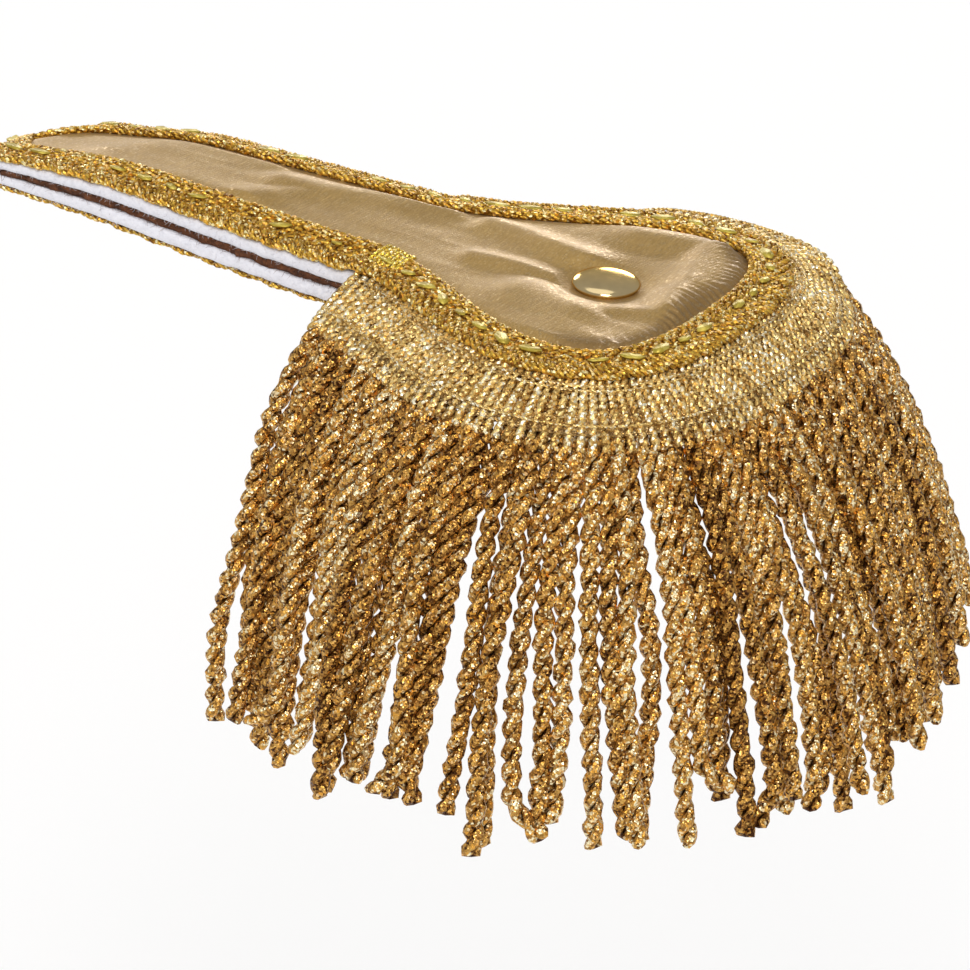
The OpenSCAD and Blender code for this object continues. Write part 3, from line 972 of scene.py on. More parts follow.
    def pad_top(self, x: np.ndarray, y: np.ndarray) -> np.ndarray:
        """Height of the padding's top.

        Args:
            x: Places along the board.
            y: Places off its middle line.

        Returns:
            The height at each.
        """
        head = self.head_share(x)
        crown = mix(self.strap_crown, self.head_crown, head) * np.clip((x - self.point_x) / self.point_len, 0, 1)
        rise = crown * (1 - self.across(x, y) ** mix(2, 3.4, head))
        dimple = self.dimple_h * bell(np.hypot(x - self.stud_x, y) / self.dimple_r)
        return self.edge_z + rise - dimple + self.bend(x)

    def head_side(self) -> tuple[np.ndarray, np.ndarray]:
        """The +Y side from the neck to the front.

        Returns:
            Its points, and the unit vector inwards at each.
        """
        x = np.linspace(self.neck_x, self.head_x, 46)
        a = np.radians(np.linspace(0, 90, 60)[1:])
        m = 2 / self.head_square
        flare = np.stack([x, self.half_w(x)], axis=-1)
        front = np.stack([self.head_x + self.head_front * np.sin(a) ** m,
                          self.head_w / 2 * np.clip(np.cos(a), 0, None) ** m], axis=-1)
        points = np.concatenate([flare, front])
        runs = np.gradient(points, axis=0)
        inward = np.stack([runs[:, 1], -runs[:, 0]], axis=-1)
        inward[-1] = (-1, 0)
        return points, inward / np.linalg.norm(inward, axis=1, keepdims=True)

    def side(self, inset: float, blunt: float = 0.0) -> np.ndarray:
        """The +Y side set in from the outline.

        Args:
            inset: Distance in from the outline.
            blunt: Half width at which the point is cut off square.

        Returns:
            Points from the strap's point to the head's front.
        """
        point_in = np.array([self.strap_w / 2, -self.point_len])
        point_in /= np.linalg.norm(point_in)
        strap_in = np.array([(self.neck_w - self.strap_w) / 2, self.corner_x - self.neck_x])
        strap_in /= np.linalg.norm(strap_in)
        corner_in = point_in + strap_in
        corner = np.array([self.corner_x, self.strap_w / 2]) + inset * corner_in / (1 + point_in @ strap_in)
        slope = math.sin(math.atan2(self.strap_w / 2, self.point_len))
        tip = mix(np.array([self.point_x + inset / slope, 0.0]), corner, blunt / corner[1])
        points, inward = self.head_side()
        head = points + inset * inward
        shares = [np.linspace(0, 1, n, endpoint=False)[:, None] for n in (30, 70)]
        return np.concatenate([mix(tip, corner, shares[0]), mix(corner, head[0], shares[1]), head])

    def loops(self, insets: Sequence[float], step: float, rounding: float) -> list[np.ndarray]:
        """Closed outlines at several insets, whose points lie side by side.

        Args:
            insets: Distance in from the outline of each.
            step: Distance between points, along the middle one.
            rounding: Radius to which corners are rounded.

        Returns:
            For each inset its points, from the strap's point by the -Y side round to it again.
        """
        rings = []
        for inset in insets:
            half = self.side(inset)
            rings.append(np.concatenate([half * (1, -1), half[-2::-1]]))
        runs = along(rings[len(rings) // 2])
        at = np.linspace(0, runs[-1], int(runs[-1] / step) + 1)
        return [softened(resampled(ring, runs, at), rounding / step) for ring in rings]

    def plate(self, rows: Sequence[tuple[float, float, object]]) -> tuple[np.ndarray, list[list[int]]]:
        """A closed layer of the board, before the strap's end leans and twists.

        Args:
            rows: For each point of half a section, from its underside round to its top, its inset, its
                share of that line's half width, and its height as a function of x and y.

        Returns:
            Its points and faces.
        """
        halves = []
        for inset, share, height in rows:
            line = self.side(inset, self.blunt)
            x, y = line[:, 0], np.maximum(line[:, 1], self.blunt) * share
            halves.append((x, y, height))
        left = [np.stack([x, -y, height(x, -y)], axis=-1) for x, y, height in halves]
        right = [np.stack([x, y, height(x, y)], axis=-1) for x, y, height in halves[::-1] if y.max() > 0]
        return skin(np.stack(left + right, axis=1))


# Pieces of the board


@dataclass(frozen=True)
class Fold:
    """A soft ridge of the satin between two points, measured from the stud."""

    start: tuple[float, float]
    end: tuple[float, float]
    width: float
    height: float

    def rise(self, x: np.ndarray, y: np.ndarray, spread: float) -> np.ndarray:
        """Height of the ridge.

        Args:
            x: Places along the board, measured from the stud.
            y: Places off the middle line.
            spread: How many times wider than its own width the ridge lies.

        Returns:
            The height at each place.
        """
        run = np.subtract(self.end, self.start)
        t = np.clip(((x - self.start[0]) * run[0] + (y - self.start[1]) * run[1]) / (run @ run), 0, 1)
        away = np.hypot(x - self.start[0] - t * run[0], y - self.start[1] - t * run[1])
        return self.height * bell(away / (self.width * spread))


@dataclass
class SatinCover:
    """The puckered satin over the padding."""

    board: Board
    inset: float = 4.0
    gap: float = 0.25
    thickness: float = 1.0
    rows: int = 80
    under_rows: int = 14
    folds: tuple[Fold, ...] = (
        Fold((-34, 10.5), (-9, 7), 3.2, 1.3), Fold((-29, -6), (-8, -4.5), 2.6, 1.1),
        Fold((-11, -15), (2, -17), 5, 1.5), Fold((18, -6), (11, 27), 3.4, 1.5),
        Fold((8, -12.5), (18, -8), 2.6, 1.0), Fold((-6, 24), (7, 28), 3.5, 1.0),
        Fold((-84, -9), (-74, 4), 3.2, 0.8), Fold((-82, 3), (-46, 11.5), 3.6, 1.2),
        Fold((-112, 9), (-91, 11), 4, 0.9), Fold((-121, -3), (-114, 7), 4.5, 0.8))
    fold_scale: float = 1.25
    fold_spread: float = 1.35
    crease: float = 0.34
    # Small gathers round the front: their height, their step, and the distance in where they are highest
    gather: float = 0.26
    gather_step: float = 2.2
    gather_in: float = 10.5
    gather_stray: float = 9.0
    puff: float = 1.1
    # Painted shade round the front, where the satin runs down into the gathers: its strength, and how far in it
    # reaches
    painted_front_shade: float = 0.6
    painted_shade_in: float = 17.0

    def creases(self, x: np.ndarray, y: np.ndarray) -> np.ndarray:
        """Height of the soft, uneven creases that run mostly along the strap.

        Args:
            x: Places along the board.
            y: Places off its middle line.

        Returns:
            The height at each.
        """
        spots = [noise.noise(Vector((a / 22, b / 9, 0.3))) + 0.4 * noise.noise(Vector((a / 10, b / 5, 7.1)))
                 + 0.25 * (1 - 2 * abs(noise.noise(Vector((a / 15 + b / 30, b / 6 - a / 40, 3.3)))))
                 for a, b in zip(x.ravel(), y.ravel())]
        return np.reshape(spots, x.shape)

    def gathers(self, x: np.ndarray, y: np.ndarray, edge_in: np.ndarray) -> np.ndarray:
        """Height of the small gathers where the satin goes under the braid round the front.

        Args:
            x: Places along the board.
            y: Places off its middle line.
            edge_in: Distance of each place in from the outline.

        Returns:
            The height at each.
        """
        board = self.board
        bearing = np.arctan2(y, (x - board.head_x + 14) * 1.3)
        spots = [noise.noise(Vector((a * 6, b / 9, 1.7))) for a, b in zip(bearing.ravel(), edge_in.ravel())]
        wander = np.reshape(spots, x.shape)
        waves = np.sin(bearing * 44 * TURN / self.gather_step + self.gather_stray * wander)
        round_front = smooth((x - board.head_x + 6) / 14) * bell((edge_in - self.gather_in) / 4.5)
        return self.gather * round_front * waves * (1 + wander)

    def top(self, x: np.ndarray, y: np.ndarray) -> np.ndarray:
        """Height of the satin's top, folds and gathers included.

        Args:
            x: Places along the board.
            y: Places off its middle line.

        Returns:
            The height at each.
        """
        board = self.board
        free, edge_in = board.satin_free(x, y), board.edge_in(x, y)
        folds = free * np.max([fold.rise(x - board.stud_x, y, self.fold_spread) for fold in self.folds], axis=0)
        puff = self.puff * board.head_share(x) * free * (1 - 0.7 * smooth((edge_in - 14) / 12))
        creases = self.crease * self.creases(x, y) * (0.25 + 0.75 * free) * smooth(edge_in / 8)
        return (board.pad_top(x, y) + self.gap + self.thickness + self.fold_scale * folds + puff + creases
                + self.gathers(x, y, edge_in))

    def build(self) -> None:
        """Makes the satin and ties it to the frame."""
        rows = [(self.inset, s, lambda x, y: self.top(x, y) - self.thickness * 0.6)
                for s in np.linspace(0, 1, self.under_rows)]
        rows += [(self.inset, s, self.top) for s in np.linspace(1, 0, self.rows)]
        points, faces = self.board.plate(rows)
        piece = make_object("satin_cover", self.board.flexed(points), faces)
        x, y = points[:, 0], points[:, 1]
        edge_in = self.board.edge_in(x, y)
        # Painted shade: a share that darkens the satin round the front, strongest near the braid
        round_front = smooth((x - self.board.head_x + 4) / 12)
        store(piece, "painted_front_shade", self.painted_front_shade * round_front * smooth((self.painted_shade_in - edge_in) / 4))
        dress(piece, Finish.SATIN, "satin", "satin_panel")


@dataclass
class FeltLayer:
    """A flat layer of the strap and head with a soft, uneven edge."""

    board: Board
    name: str
    node: str
    slot: str
    finish: Finish
    low: float
    high: float
    inset: float = 0.0
    domed: bool = False
    edge: float = 0.7
    wave: float = 0.35
    lump: float = 3.2
    small_lump: float = 1.1
    fibres: float = 1.8
    fibre_len: float = 1.1
    fibre_t: float = 0.055
    seed: int = 3

    def section(self) -> tuple[list[tuple[float, float, object]], list[float]]:
        """Half a section of the layer, from its underside round to its top.

        Returns:
            Its rows, as the board's plate takes them, and for each point of the whole section 1 on the bulging
            edge and 0 elsewhere.
        """
        board, thick = self.board, self.high - self.low

        def flat(z: float) -> object:
            """Height function of a level surface that bends with the strap."""
            return lambda x, y: board.bend(x) + z

        under = [(self.inset + self.edge, s, flat(self.low)) for s in np.linspace(0, 1, 8)]
        bulge = [(self.inset + self.edge * (1 - math.sin(a)), 1.0, flat(self.low + thick * (1 - math.cos(a)) / 2))
                 for a in np.linspace(0, math.pi, 9)[1:-1]]
        top = board.pad_top if self.domed else flat(self.high)
        over = [(self.inset + self.edge, s, top) for s in np.linspace(1, 0, 16)]
        half = [0.0] * len(under) + [1.0] * len(bulge) + [0.0] * len(over)
        return under + bulge + over, half + half[-2:0:-1]

    def build(self) -> None:
        """Makes the layer, with fibres standing from its edge, and ties it to the frame."""
        board = self.board
        rows, at_edge = self.section()
        points, faces = board.plate(rows)
        near_edge = smooth((board.across(points[:, 0], points[:, 1]) - 0.9) / 0.06)
        moved = (roughened(points, self.lump, self.wave) - points
                 + roughened(points, self.small_lump, self.wave * 0.5) - points)
        points = board.flexed(points + moved * near_edge[:, None] * (1, 1, 0.5))
        piece = make_object(self.name, points, faces)
        store(piece, "edge", np.tile(at_edge, len(points) // len(at_edge)))
        sizes = {"Density": self.fibres / MM**2, "Length": self.fibre_len * MM, "Thickness": self.fibre_t * MM,
                 "Seed": self.seed}
        fibres = fuzz().grow(piece, self.name + "_fibres", self.finish.material(), sizes, keep_base=True)
        dress(piece, self.finish, self.slot, self.node)
        dress(fibres, self.finish, self.slot)


@dataclass
class Braid:
    """Flat plait of twisted thread round the whole outline, over a ribbon core."""

    board: Board
    name: str
    node: str
    cord: Cord
    outer: float
    inner: float
    threads: int
    repeat: float
    lift: float
    level: Level
    middle: float
    on_satin: float = 0.0
    flake_len: float = 0.0
    flake_w: float = 2.7
    flake_step: float = 7.2
    flake_share: float = 0.75
    flake_in: float = 0.12
    flake_seed: int = 8
    scallop: float = 0.16
    scallop_step: float = 7.8

    def height(self, x: np.ndarray, y: np.ndarray, share: float) -> np.ndarray:
        """Height of the braid's middle.

        Args:
            x: Places along the board.
            y: Places off its middle line.
            share: How far in from the braid's outer edge they lie, from 0 to 1.

        Returns:
            The height at each place.
        """
        board = self.board
        if self.level is Level.FLAT:
            return board.bend(x) + self.middle
        on_head = np.clip((x - board.neck_x + 2) / 4, 0, 1)
        return board.pad_top(x, y) + self.middle + self.on_satin * np.maximum(share, on_head)

    def lines(self) -> tuple[np.ndarray, np.ndarray]:
        """The braid's course, with an outer edge that swells and draws in.

        Returns:
            Points of its middle line, and the vectors from them to the inner edge.
        """
        thick = self.cord.ply + self.cord.turn
        insets = (self.outer + thick, (self.outer + self.inner) / 2, self.inner - thick)
        rings = self.board.loops(insets, 1.0, 1.6)
        edges = [self.board.flexed(np.column_stack([ring, self.height(ring[:, 0], ring[:, 1], share)]))
                 for ring, share in zip((rings[0], rings[2]), (0.3, 1.0))]
        lateral = (edges[1] - edges[0]) / 2
        runs = along((edges[0] + edges[1]) / 2)
        waves = round(runs[-1] / self.scallop_step)
        swell = np.abs(np.sin(math.pi * waves * runs / runs[-1])) - 0.6
        outer = edges[0] - self.scallop * swell[:, None] * lateral
        return (outer + edges[1]) / 2, (edges[1] - outer) / 2

    def build(self) -> None:
        """Plaits the threads, lays the ribbon under them, and ties both to the frame."""
        middle, lateral = self.lines()
        length = along(middle)[-1]
        repeat = length / round(length / self.repeat)
        base = line_object(self.name + "_path", [middle], lateral=[lateral * MM])
        finish = Finish.BRAID.material()
        threads = plait(self.threads).grow(base, self.name + "_lines", finish, {
            "Step": 0.6 * MM, "Repeat": repeat * MM, "Lift": self.lift * MM})
        dress(self.cord.lay(threads, self.name, finish), Finish.BRAID, "gimp", self.node)
        self.backing(middle, lateral)

    def backing(self, middle: np.ndarray, lateral: np.ndarray) -> None:
        """Lays the flat band that carries the threads, and the flakes that show between them.

        Args:
            middle: Points of the braid's middle line.
            lateral: Vectors from them to the inner edge.
        """
        down = -0.6 * self.cord.ply * UP
        corners = [middle + down + u * lateral + v * UP
                   for u, v in ((-0.9, 0.0), (0.9, 0.0), (0.9, 0.3), (0.3, 0.6), (-0.3, 0.6), (-0.9, 0.3))]
        points, faces = skin(np.stack(corners, axis=1))
        dress(make_object(self.name + "_backing", points, faces), Finish.BRAID_BACK, "gimp")
        if self.flake_len:
            rise = (self.cord.ply + self.cord.turn + 0.3 * self.lift) * UP
            base = line_object(self.name + "_flake_path", [middle + self.flake_in * lateral + rise])
            piece = flakes().grow(base, self.name + "_flakes", Finish.FLAKE.material(), {
                "Spacing": self.flake_step * MM, "Length": self.flake_len * MM, "Width": self.flake_w * MM,
                "Share": self.flake_share, "Seed": self.flake_seed})
            dress(piece, Finish.FLAKE, "gimp")


@dataclass
class Stud:
    """The low smooth dome on a rolled rim."""

    board: Board
    clearance: float = 0.15
    seat: float = 1.25
    lift: float = 0.35
    rim_h: float = 0.8
    rim_in: float = 0.5
    dome_h: float = 1.9
    roundness: float = 2.6
    sides: int = 96

    def profile(self) -> list[tuple[float, float]]:
        """The button's outline.

        Returns:
            Radius and height of each ring, from the rim's foot to the top.
        """
        r = self.board.stud_r - self.clearance
        foot = [(r - self.rim_in - 0.3, -0.2), (r - self.rim_in, 0.0), (r - self.rim_in, 0.5 * self.rim_h),
                (r - 0.35, 0.8 * self.rim_h), (r - 0.06, 0.92 * self.rim_h)]
        angles = np.radians(np.linspace(0, 89, 26))
        dome = [(r * math.cos(a) ** (2 / self.roundness), self.rim_h + self.dome_h * math.sin(a)) for a in angles]
        return foot + dome

    def build(self) -> None:
        """Turns the dome and ties it to the frame."""
        board = self.board
        level = float(board.pad_top(np.array(board.stud_x), np.array(0.0))) + self.seat + self.lift
        turn = np.linspace(0, TURN, self.sides, endpoint=False)
        rings = [np.column_stack([board.stud_x + r * np.cos(turn), r * np.sin(turn), 0 * turn + level + z])
                 for r, z in self.profile()]
        points, faces = skin(np.stack(rings[::-1]))
        dress(make_object("stud_dome", points, faces), Finish.STUD, "stud", "stud")


# The fringe


@dataclass
class FringeEdge:
    """Edge of the board that carries the fringe, from the -Y neck round the head."""

    board: Board
    back: float = 3.0
    turn_at_neck: float = 14.0
    heading_w: float = 13.5
    heading_t: float = 1.6
    heading_slope: float = 27.0
    far_slope: float = 11.0
    far_y: float = 33.0
    places: np.ndarray = field(init=False)
    out_angles: np.ndarray = field(init=False)
    hang_angles: np.ndarray = field(init=False)

    def __post_init__(self) -> None:
        """Works out the edge's places and directions."""
        points, inward = self.board.head_side()
        keep = points[:, 0] >= self.board.neck_x + self.back
        points, out = points[keep], np.degrees(np.arctan2(-inward[keep, 1], -inward[keep, 0]))
        t = np.clip((self.board.head_x - points[:, 0]) / self.board.neck_len, 0, 1)
        hang = np.where(points[:, 0] < self.board.head_x, 90 + self.turn_at_neck * t, out)
        self.places = np.concatenate([points * (1, -1), points[-2::-1]])
        self.out_angles = np.concatenate([-out, out[-2::-1]])
        self.hang_angles = np.concatenate([-hang, hang[-2::-1]])

    @property
    def drop(self) -> float:
        """Height from the board's edge down to the heading's outer edge."""
        return self.heading_w * math.sin(math.radians(self.heading_slope))

    @property
    def reach(self) -> float:
        """Level distance from the board's edge out to the heading's outer edge."""
        return self.heading_w * math.cos(math.radians(self.heading_slope))

    def fall(self) -> np.ndarray:
        """Share of the full slope at each place, less on the +Y side, where the heading stands up a little."""
        far = math.tan(math.radians(self.far_slope)) / math.tan(math.radians(self.heading_slope))
        return mix(1.0, far, smooth((self.places[:, 1] - self.far_y) / 8))

    def level(self) -> np.ndarray:
        """Height of the board's edge at each place."""
        return self.board.pad_top(self.places[:, 0], self.places[:, 1])

    def outward(self) -> np.ndarray:
        """Level unit vector out from the board at each place."""
        a = np.radians(self.out_angles)
        return np.stack([np.cos(a), np.sin(a), 0 * a], axis=-1)

    def line(self, out: float, rise: float) -> np.ndarray:
        """Points at a distance out from the edge and a height over it."""
        base = np.column_stack([self.places, self.level() + rise])
        return base + out * self.outward()

    def on_slope(self, out: float, rise: float) -> np.ndarray:
        """Points at a distance out from the edge and a height over the heading's slope."""
        return self.line(out, rise) - (out * self.drop / self.reach * self.fall())[:, None] * UP


@dataclass
class Heading:
    """The ribbed woven band that carries the cords."""

    edge: FringeEdge
    spacing: float = 2.05
    rib: Cord = Cord(0.62, 0.4, step=0.4, cap=0.8, root_cap=0.5, sides=6, lump=0.7, lump_size=1.5)
    cross: Cord = Cord(0.24, 0.16, pitch=2.0, step=0.45, cap=0.3, root_cap=0.3, lump=0.8)
    lift: float = 0.15
    seed: int = 5

    def place(self, out: float, rise: float) -> tuple[float, float, float]:
        """A point of every rib.

        Args:
            out: Its level distance out from the board's edge.
            rise: Its height over the slope.

        Returns:
            The point in metres, measured from the heading's middle line.
        """
        slope = math.tan(math.radians(self.edge.heading_slope))
        along_out = out - self.edge.reach / 2
        return along_out * MM, 0.0, (rise - slope * along_out) * MM

    def build(self) -> None:
        """Makes the ribs, their cross threads and the backing."""
        edge = self.edge
        rise = self.lift + edge.heading_t * 0.4
        base = line_object("heading_path", [edge.on_slope(edge.reach / 2, rise)],
                           out=[edge.outward()], fall=[edge.fall()])
        finish = Finish.HEADING.material()
        lines = ribs().grow(base, "heading_lines", finish, {
            "Spacing": self.spacing * MM, "Rib Start": self.place(-1.0, -0.2),
            "Rib Middle": self.place(edge.reach - 2.0, 0.5), "Rib End": self.place(edge.reach + 1.8, -2.0),
            "Seed": self.seed})
        dress(self.rib.lay(lines, "heading_ribs", finish), Finish.HEADING, "heading", "fringe_heading")
        threads = line_object("heading_thread_path", [
            edge.on_slope(u, rise + v) for u, v in ((1.6, 0.75), (2.7, 0.85), (edge.reach - 1.6, 0.75))])
        dress(self.cross.lay(threads, "heading_threads", finish), Finish.HEADING, "heading")
        rows = ((-2.0, -0.6), (edge.reach - 0.6, 0.0), (edge.reach - 0.4, 0.5), (-2.0, 0.0))
        points, faces = skin(np.stack([edge.on_slope(u, self.lift + v) for u, v in rows], axis=1))
        dress(make_object("heading_backing", points, faces), Finish.HEADING_BACK, "heading")


@dataclass
class Skirt:
    """The twisted cords, which hang in the source's locks of two or three."""

    edge: FringeEdge
    cord: Cord = Cord(1.2, 0.95, pitch=9.0, step=0.85, cap=1.8, root_cap=7.0, sides=7, lump=1.4, lump_size=1.8)
    locks: int = 44
    steps: int = 28
    seed: int = 11
    # Where the cords are sewn on, in two rows, and how unevenly
    root_in: float = 2.4
    root_down: float = 0.97
    lock_spread: float = 0.95
    place_uneven: float = 0.06
    row_gap: float = 1.1
    row_uneven: float = 0.3
    # Lengths, with the mean and spread of what a cord has more than its lock
    length: float = 83.0
    lock_uneven: float = 5.0
    own_length: tuple[float, float] = (-1.6, 1.8)
    neck_longer: float = 6.0
    # Slopes in degrees at a cord's root and at its end, and the length over which it bends down
    start_slope: float = 42.0
    far_start: float = 49.0
    neck_start: float = 35.0
    end_slope: float = 84.0
    neck_end: float = 95.0
    curve: float = 43.0
    slope_uneven: float = 0.03
    tilt: float = 2.0
    # Strays: locks that lean out, cords that bunch and drift sideways, waves, and hooked ends
    lock_lean: float = 1.5
    bunch: float = 6.5
    bunch_size: float = 11.0
    drift: float = 1.5
    wave: tuple[float, float] = (0.5, 1.5)
    wave_len: tuple[float, float] = (9.0, 17.0)
    hook: tuple[float, float] = (4.0, 7.5)
    hook_share: float = 0.14
    hook_from: float = 0.86
    hook_lift: float = 0.35
    # Settling: the room left between cords, and how often they are pushed apart
    cord_gap: float = 0.8
    pushes: int = 30

    def places(self, runs: np.ndarray, rng: np.random.Generator) -> tuple[np.ndarray, np.ndarray]:
        """Where the cords are sewn on.

        Args:
            runs: Running length along the cord that they hang from.
            rng: The source of the uneven values.

        Returns:
            The number of each cord's lock, and its place along that cord.
        """
        locks = np.repeat(np.arange(self.locks), [2 + i % 2 for i in range(self.locks)])
        numbers = np.arange(len(locks))
        first = np.r_[True, np.diff(locks) > 0]
        in_lock = numbers - np.maximum.accumulate(np.where(first, numbers, 0))
        size = 2 + locks % 2
        share = (in_lock - (size - 1) / 2) / size
        uneven_share = rng.normal(0, self.place_uneven, len(locks))
        places = runs[-1] / self.locks * (locks + 0.5 + self.lock_spread * share + uneven_share)
        return locks, np.clip(places, 0.5, runs[-1] - 0.5)

    def cords(self) -> tuple[np.ndarray, np.ndarray]:
        """The cords' courses.

        Returns:
            Points of each cord's middle line, and a tint for each cord, random and lower for the inner row as
            painted shade.
        """
        rng = np.random.default_rng(self.seed)
        edge, board = self.edge, self.edge.board
        rail = edge.on_slope(edge.reach - self.root_in, -self.root_down)
        runs = along(rail[:, :2])
        locks, places = self.places(runs, rng)
        count = len(locks)
        root = resampled(rail, runs, places)
        hang = np.radians(np.interp(places, runs, edge.hang_angles))
        out = np.stack([np.cos(hang), np.sin(hang), 0 * hang], axis=-1)
        side = np.stack([-np.sin(hang), np.cos(hang), 0 * hang], axis=-1)
        at_neck = smooth((board.head_x - root[:, 0]) / board.neck_len) * (root[:, 1] < 0)

        length = self.length + self.lock_uneven * uneven(locks, 20) + rng.normal(*self.own_length, count)
        length = length + self.neck_longer * at_neck
        t = np.linspace(0, 1, self.steps)
        run = length[:, None] * t
        mid = (run[:, 1:] + run[:, :-1]) / 2
        start = mix(mix(self.start_slope, self.neck_start, at_neck), self.far_start, smooth((root[:, 1] + 5) / 30))
        end = mix(self.end_slope, self.neck_end, at_neck)
        slope = np.radians(mix(end[:, None], start[:, None], np.exp(-mid / self.curve)))
        slope = slope + rng.normal(0, self.slope_uneven, count)[:, None]
        ds = np.diff(run, axis=1)
        outs = np.concatenate([0 * run[:, :1], np.cumsum(ds * np.cos(slope), axis=1)], axis=1)
        downs = np.concatenate([0 * run[:, :1], np.cumsum(ds * np.sin(slope), axis=1)], axis=1)

        row = np.where(np.arange(count) % 2 == 0, self.row_gap, -self.row_gap)
        row = row + rng.normal(0, self.row_uneven, count)
        outs = outs + row[:, None] * mix(0.6, 1.0, t) + (self.lock_lean * uneven(locks, 75))[:, None] * t**2
        bunch = np.array([noise.noise(Vector((v / self.bunch_size, 2.7, 0.4))) for v in places])
        drift = (self.bunch * bunch)[:, None] * t**1.3 + rng.normal(0, self.drift, count)[:, None] * t**1.6
        height = rng.uniform(*self.wave, count)[:, None]
        turns = run / rng.uniform(*self.wave_len, count)[:, None] + rng.uniform(0, TURN, count)[:, None]
        wave = height * np.sin(turns) * smooth(t * 2)
        hooked = (rng.random(count) < self.hook_share) * rng.choice([-1, 1], count)
        bent = smooth((t - self.hook_from) / (1 - self.hook_from)) ** 1.5
        hook = (hooked * rng.uniform(*self.hook, count))[:, None] * bent

        lines = (root[:, None] + outs[..., None] * out[:, None] - downs[..., None] * UP
                 + (drift + wave + hook)[..., None] * side[:, None])
        lines[..., 2] += np.abs(hook) * self.hook_lift
        lines[..., 0] += downs * math.tan(math.radians(self.tilt))
        # The tint is random, and lower for the inner row of cords as painted shade
        return self.settled(lines), rng.normal(0, 0.25, count) + np.where(row < 0, -0.25, 0.05)

    def settled(self, lines: np.ndarray) -> np.ndarray:
        """Pushes cords apart where they lie in each other, with their roots held.

        Args:
            lines: Points of each cord's middle line.

        Returns:
            The moved points.
        """
        gap = 2 * self.cord.ply + self.cord_gap
        hold = smooth(np.linspace(0, 1, self.steps) * 5)[:, None]
        start = lines
        for _ in range(self.pushes):
            push = np.zeros_like(lines)
            for k in range(1, self.steps):
                away = lines[:, None, k] - lines[None, :, k]
                dist = np.linalg.norm(away, axis=-1) + 1e-6
                np.fill_diagonal(dist, 1e6)
                short = np.clip(gap - dist, 0, None)
                push[:, k] = (away / dist[..., None] * short[..., None]).sum(axis=1) * 0.3
            push[..., 2] = 0
            push[:, 1:-1] = (push[:, :-2] + 2 * push[:, 1:-1] + push[:, 2:]) / 4
            lines = lines + push * hold + 0.06 * (start - lines)
        return lines

    def build(self) -> None:
        """Twists the cords, in two pieces, and ties them to the frame."""
        lines, tint = self.cords()
        phase = np.random.default_rng(self.seed + 1).uniform(0, TURN, len(lines))
        finish = Finish.BULLION.material()
        half = len(lines) // 2
        for name, part in (("fringe_cords_right", slice(0, half)), ("fringe_cords_left", slice(half, None))):
            ones = np.ones(self.steps)
            base = line_object(name + "_path", list(lines[part]), phase=[p * ones for p in phase[part]],
                               tint=[q * ones for q in tint[part]])
            dress(self.cord.lay(base, name, finish), Finish.BULLION, "bullion", "fringe_skirt")


@dataclass
class NeckTack:
    """Bright stitches side by side across the braid at the neck."""

    board: Board
    cord: Cord = Cord(0.38, 0.24, pitch=2.6, step=0.4, cap=1.2, root_cap=1.2, sides=6)
    stitches: int = 7
    start: tuple[float, float] = (20.2, -20.6)
    start_step: tuple[float, float] = (1.25, -0.15)
    end: tuple[float, float] = (21.4, -12.6)
    end_step: tuple[float, float] = (1.2, -0.35)
    lift: float = 2.5
    arch: float = 0.4

    def build(self) -> None:
        """Makes the stitches and ties them to the frame."""
        t = np.linspace(0, 1, 12)[:, None]
        stitches = []
        for k in range(self.stitches):
            start = np.array([*self.start, 0]) + k * np.array([*self.start_step, 0])
            end = np.array([*self.end, 0]) + k * np.array([*self.end_step, 0])
            line = mix(start, end, t)
            arch = self.arch * np.sin(math.pi * t[:, 0])
            line[:, 2] = self.board.pad_top(line[:, 0], line[:, 1]) + self.lift + arch
            stitches.append(line)
        base = line_object("tack_path", stitches)
        dress(self.cord.lay(base, "neck_tack", Finish.TACK.material()), Finish.TACK, "gimp")


# The room


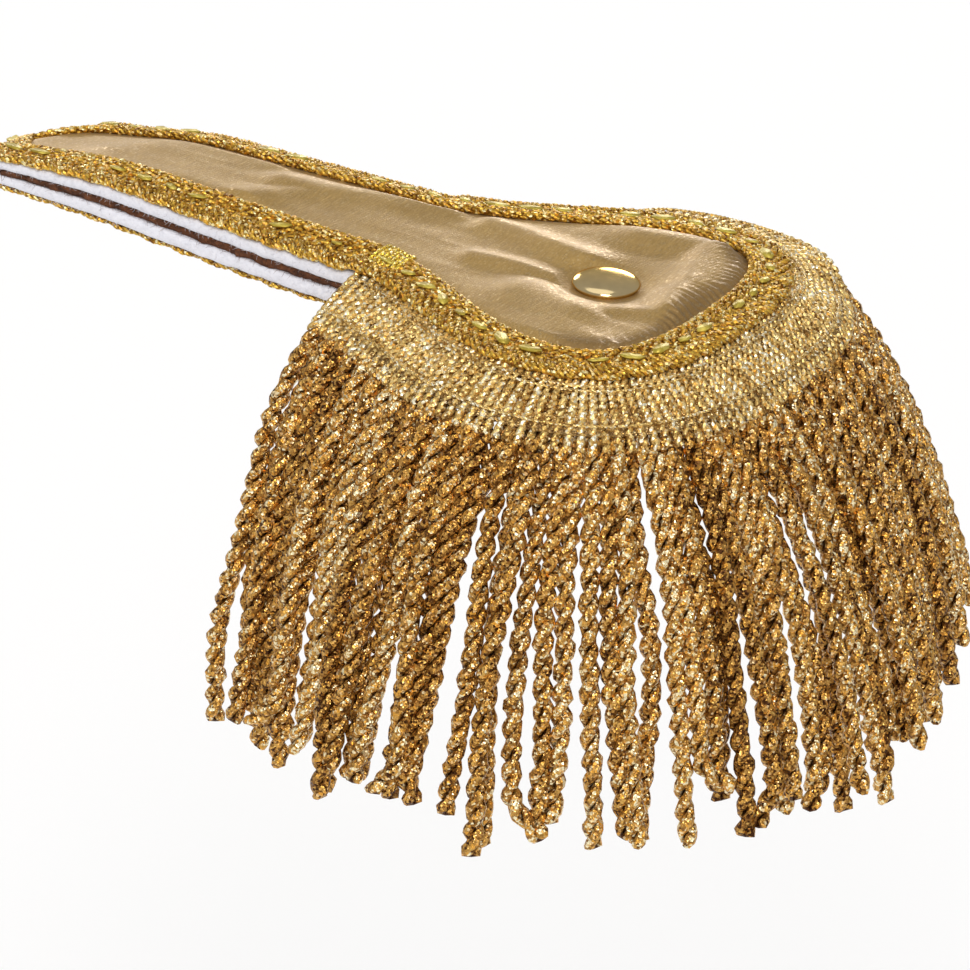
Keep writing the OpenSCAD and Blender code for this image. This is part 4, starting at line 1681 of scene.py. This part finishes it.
@dataclass
class Studio:
    """Pale floor, soft light, and the camera at the photograph's angle."""

    azimuth: float = 30.3
    elevation: float = 26.84
    roll: float = 2.69
    target: tuple[float, float, float] = (39.36, 0.0, -44.05)
    distance: float = 900.0
    lens: float = 153.7
    floor_z: float = -700.0
    floor_w: float = 8000.0
    backdrop: float = 0.4

    @staticmethod
    def towards(azimuth: float, elevation: float) -> Vector:
        """Unit vector to a place at these angles in degrees, from the -Y side round by the +X side."""
        a, e = math.radians(azimuth), math.radians(elevation)
        return Vector((math.sin(a) * math.cos(e), -math.cos(a) * math.cos(e), math.sin(e)))

    def camera(self) -> None:
        """Sets the camera."""
        a, r = math.radians(self.azimuth), math.radians(self.roll)
        back = self.towards(self.azimuth, self.elevation)
        right = Vector((math.cos(a), math.sin(a), 0))
        up = back.cross(right)
        rolled = (math.cos(r) * right + math.sin(r) * up, -math.sin(r) * right + math.cos(r) * up)
        turned = Matrix((*rolled, back)).transposed()
        data = bpy.data.cameras.new("camera")
        data.lens, data.sensor_width = self.lens, 36.0
        data.clip_start, data.clip_end = 0.05, 20.0
        camera = bpy.data.objects.new("camera", data)
        place = Matrix.Translation((Vector(self.target) + back * self.distance) * MM)
        camera.matrix_world = place @ turned.to_4x4()
        bpy.context.scene.collection.objects.link(camera)
        bpy.context.scene.camera = camera

    def lamp(self, name: str, azimuth: float, elevation: float, strength: float, spread: float,
             colour: Colour = (1.0, 1.0, 1.0)) -> None:
        """Adds a soft far lamp.

        Args:
            name: Its name.
            azimuth: Direction that it shines from, in degrees, as the camera's.
            elevation: Height that it shines from, in degrees.
            strength: Its strength.
            spread: How wide it looks, in degrees.
            colour: Its colour.
        """
        data = bpy.data.lights.new(name, "SUN")
        data.energy, data.angle, data.color = strength, math.radians(spread), colour
        lamp = bpy.data.objects.new(name, data)
        back = self.towards(azimuth, elevation)
        lamp.location = back
        lamp.rotation_mode = "QUATERNION"
        lamp.rotation_quaternion = back.to_track_quat("Z", "Y")
        bpy.context.scene.collection.objects.link(lamp)

    def build(self) -> None:
        """Makes the floor, the lamps, the backdrop's light and the camera."""
        half = self.floor_w / 2
        corners = [(x * half, y * half, self.floor_z) for x, y in ((-1, -1), (1, -1), (1, 1), (-1, 1))]
        floor = make_object("floor", corners, [(0, 1, 2, 3)])
        shader = Shader("floor")
        shader.set(Base_Color=(0.99, 0.99, 0.99), Roughness=0.9)
        floor.data.materials.append(shader.material)
        world = bpy.data.worlds.new("world")
        world.use_nodes = True
        background = world.node_tree.nodes["Background"]
        background.inputs["Color"].default_value = (1.0, 1.0, 1.0, 1.0)
        background.inputs["Strength"].default_value = self.backdrop
        bpy.context.scene.world = world
        self.lamp("front", azimuth=29.0, elevation=42.0, strength=1.9, spread=25.0, colour=(1.0, 0.99, 0.98))
        self.lamp("top", azimuth=300.0, elevation=78.0, strength=0.45, spread=50.0)
        self.lamp("back", azimuth=203.0, elevation=9.0, strength=0.6, spread=14.0, colour=(1.0, 0.97, 0.95))
        self.lamp("back_left", azimuth=229.0, elevation=13.0, strength=0.5, spread=14.0, colour=(1.0, 0.97, 0.95))
        bpy.context.scene.view_settings.view_transform = "Standard"
        self.camera()


def main() -> None:
    """Builds the room and the camera, then the epaulette's pieces in order."""
    logging.basicConfig(level=logging.INFO, format="%(name)s %(message)s")
    Studio().build()
    board = Board()
    SatinCover(board).build()
    Stud(board).build()
    FeltLayer(board, "felt_top", "upper_felt", "felt", Finish.WHITE_FELT, low=5.1, high=8.1, domed=True,
              seed=3).build()
    FeltLayer(board, "felt_bottom", "lower_felt", "felt", Finish.WHITE_FELT, low=0.0, high=3.0, seed=4).build()
    FeltLayer(board, "core_layer", "brown_core", "core", Finish.BROWN_CORE, low=3.1, high=5.0, inset=0.8, edge=0.4,
              wave=1.0, fibres=3.0, fibre_len=1.8, seed=5).build()
    Braid(board, "top_braid", "gimp_braid", Cord(0.5, 0.34), outer=-1.0, inner=9.5, threads=10, repeat=30.0,
          lift=0.4, level=Level.PAD, middle=0.75, on_satin=1.5, flake_len=5.6).build()
    Braid(board, "edge_braid", "under_braid", Cord(0.4, 0.28), outer=0.2, inner=6.0, threads=3, repeat=24.0,
          lift=0.2, level=Level.FLAT, middle=-0.7).build()
    edge = FringeEdge(board)
    Heading(edge).build()
    Skirt(edge).build()
    NeckTack(board).build()


if __name__ == "__main__":
    main()
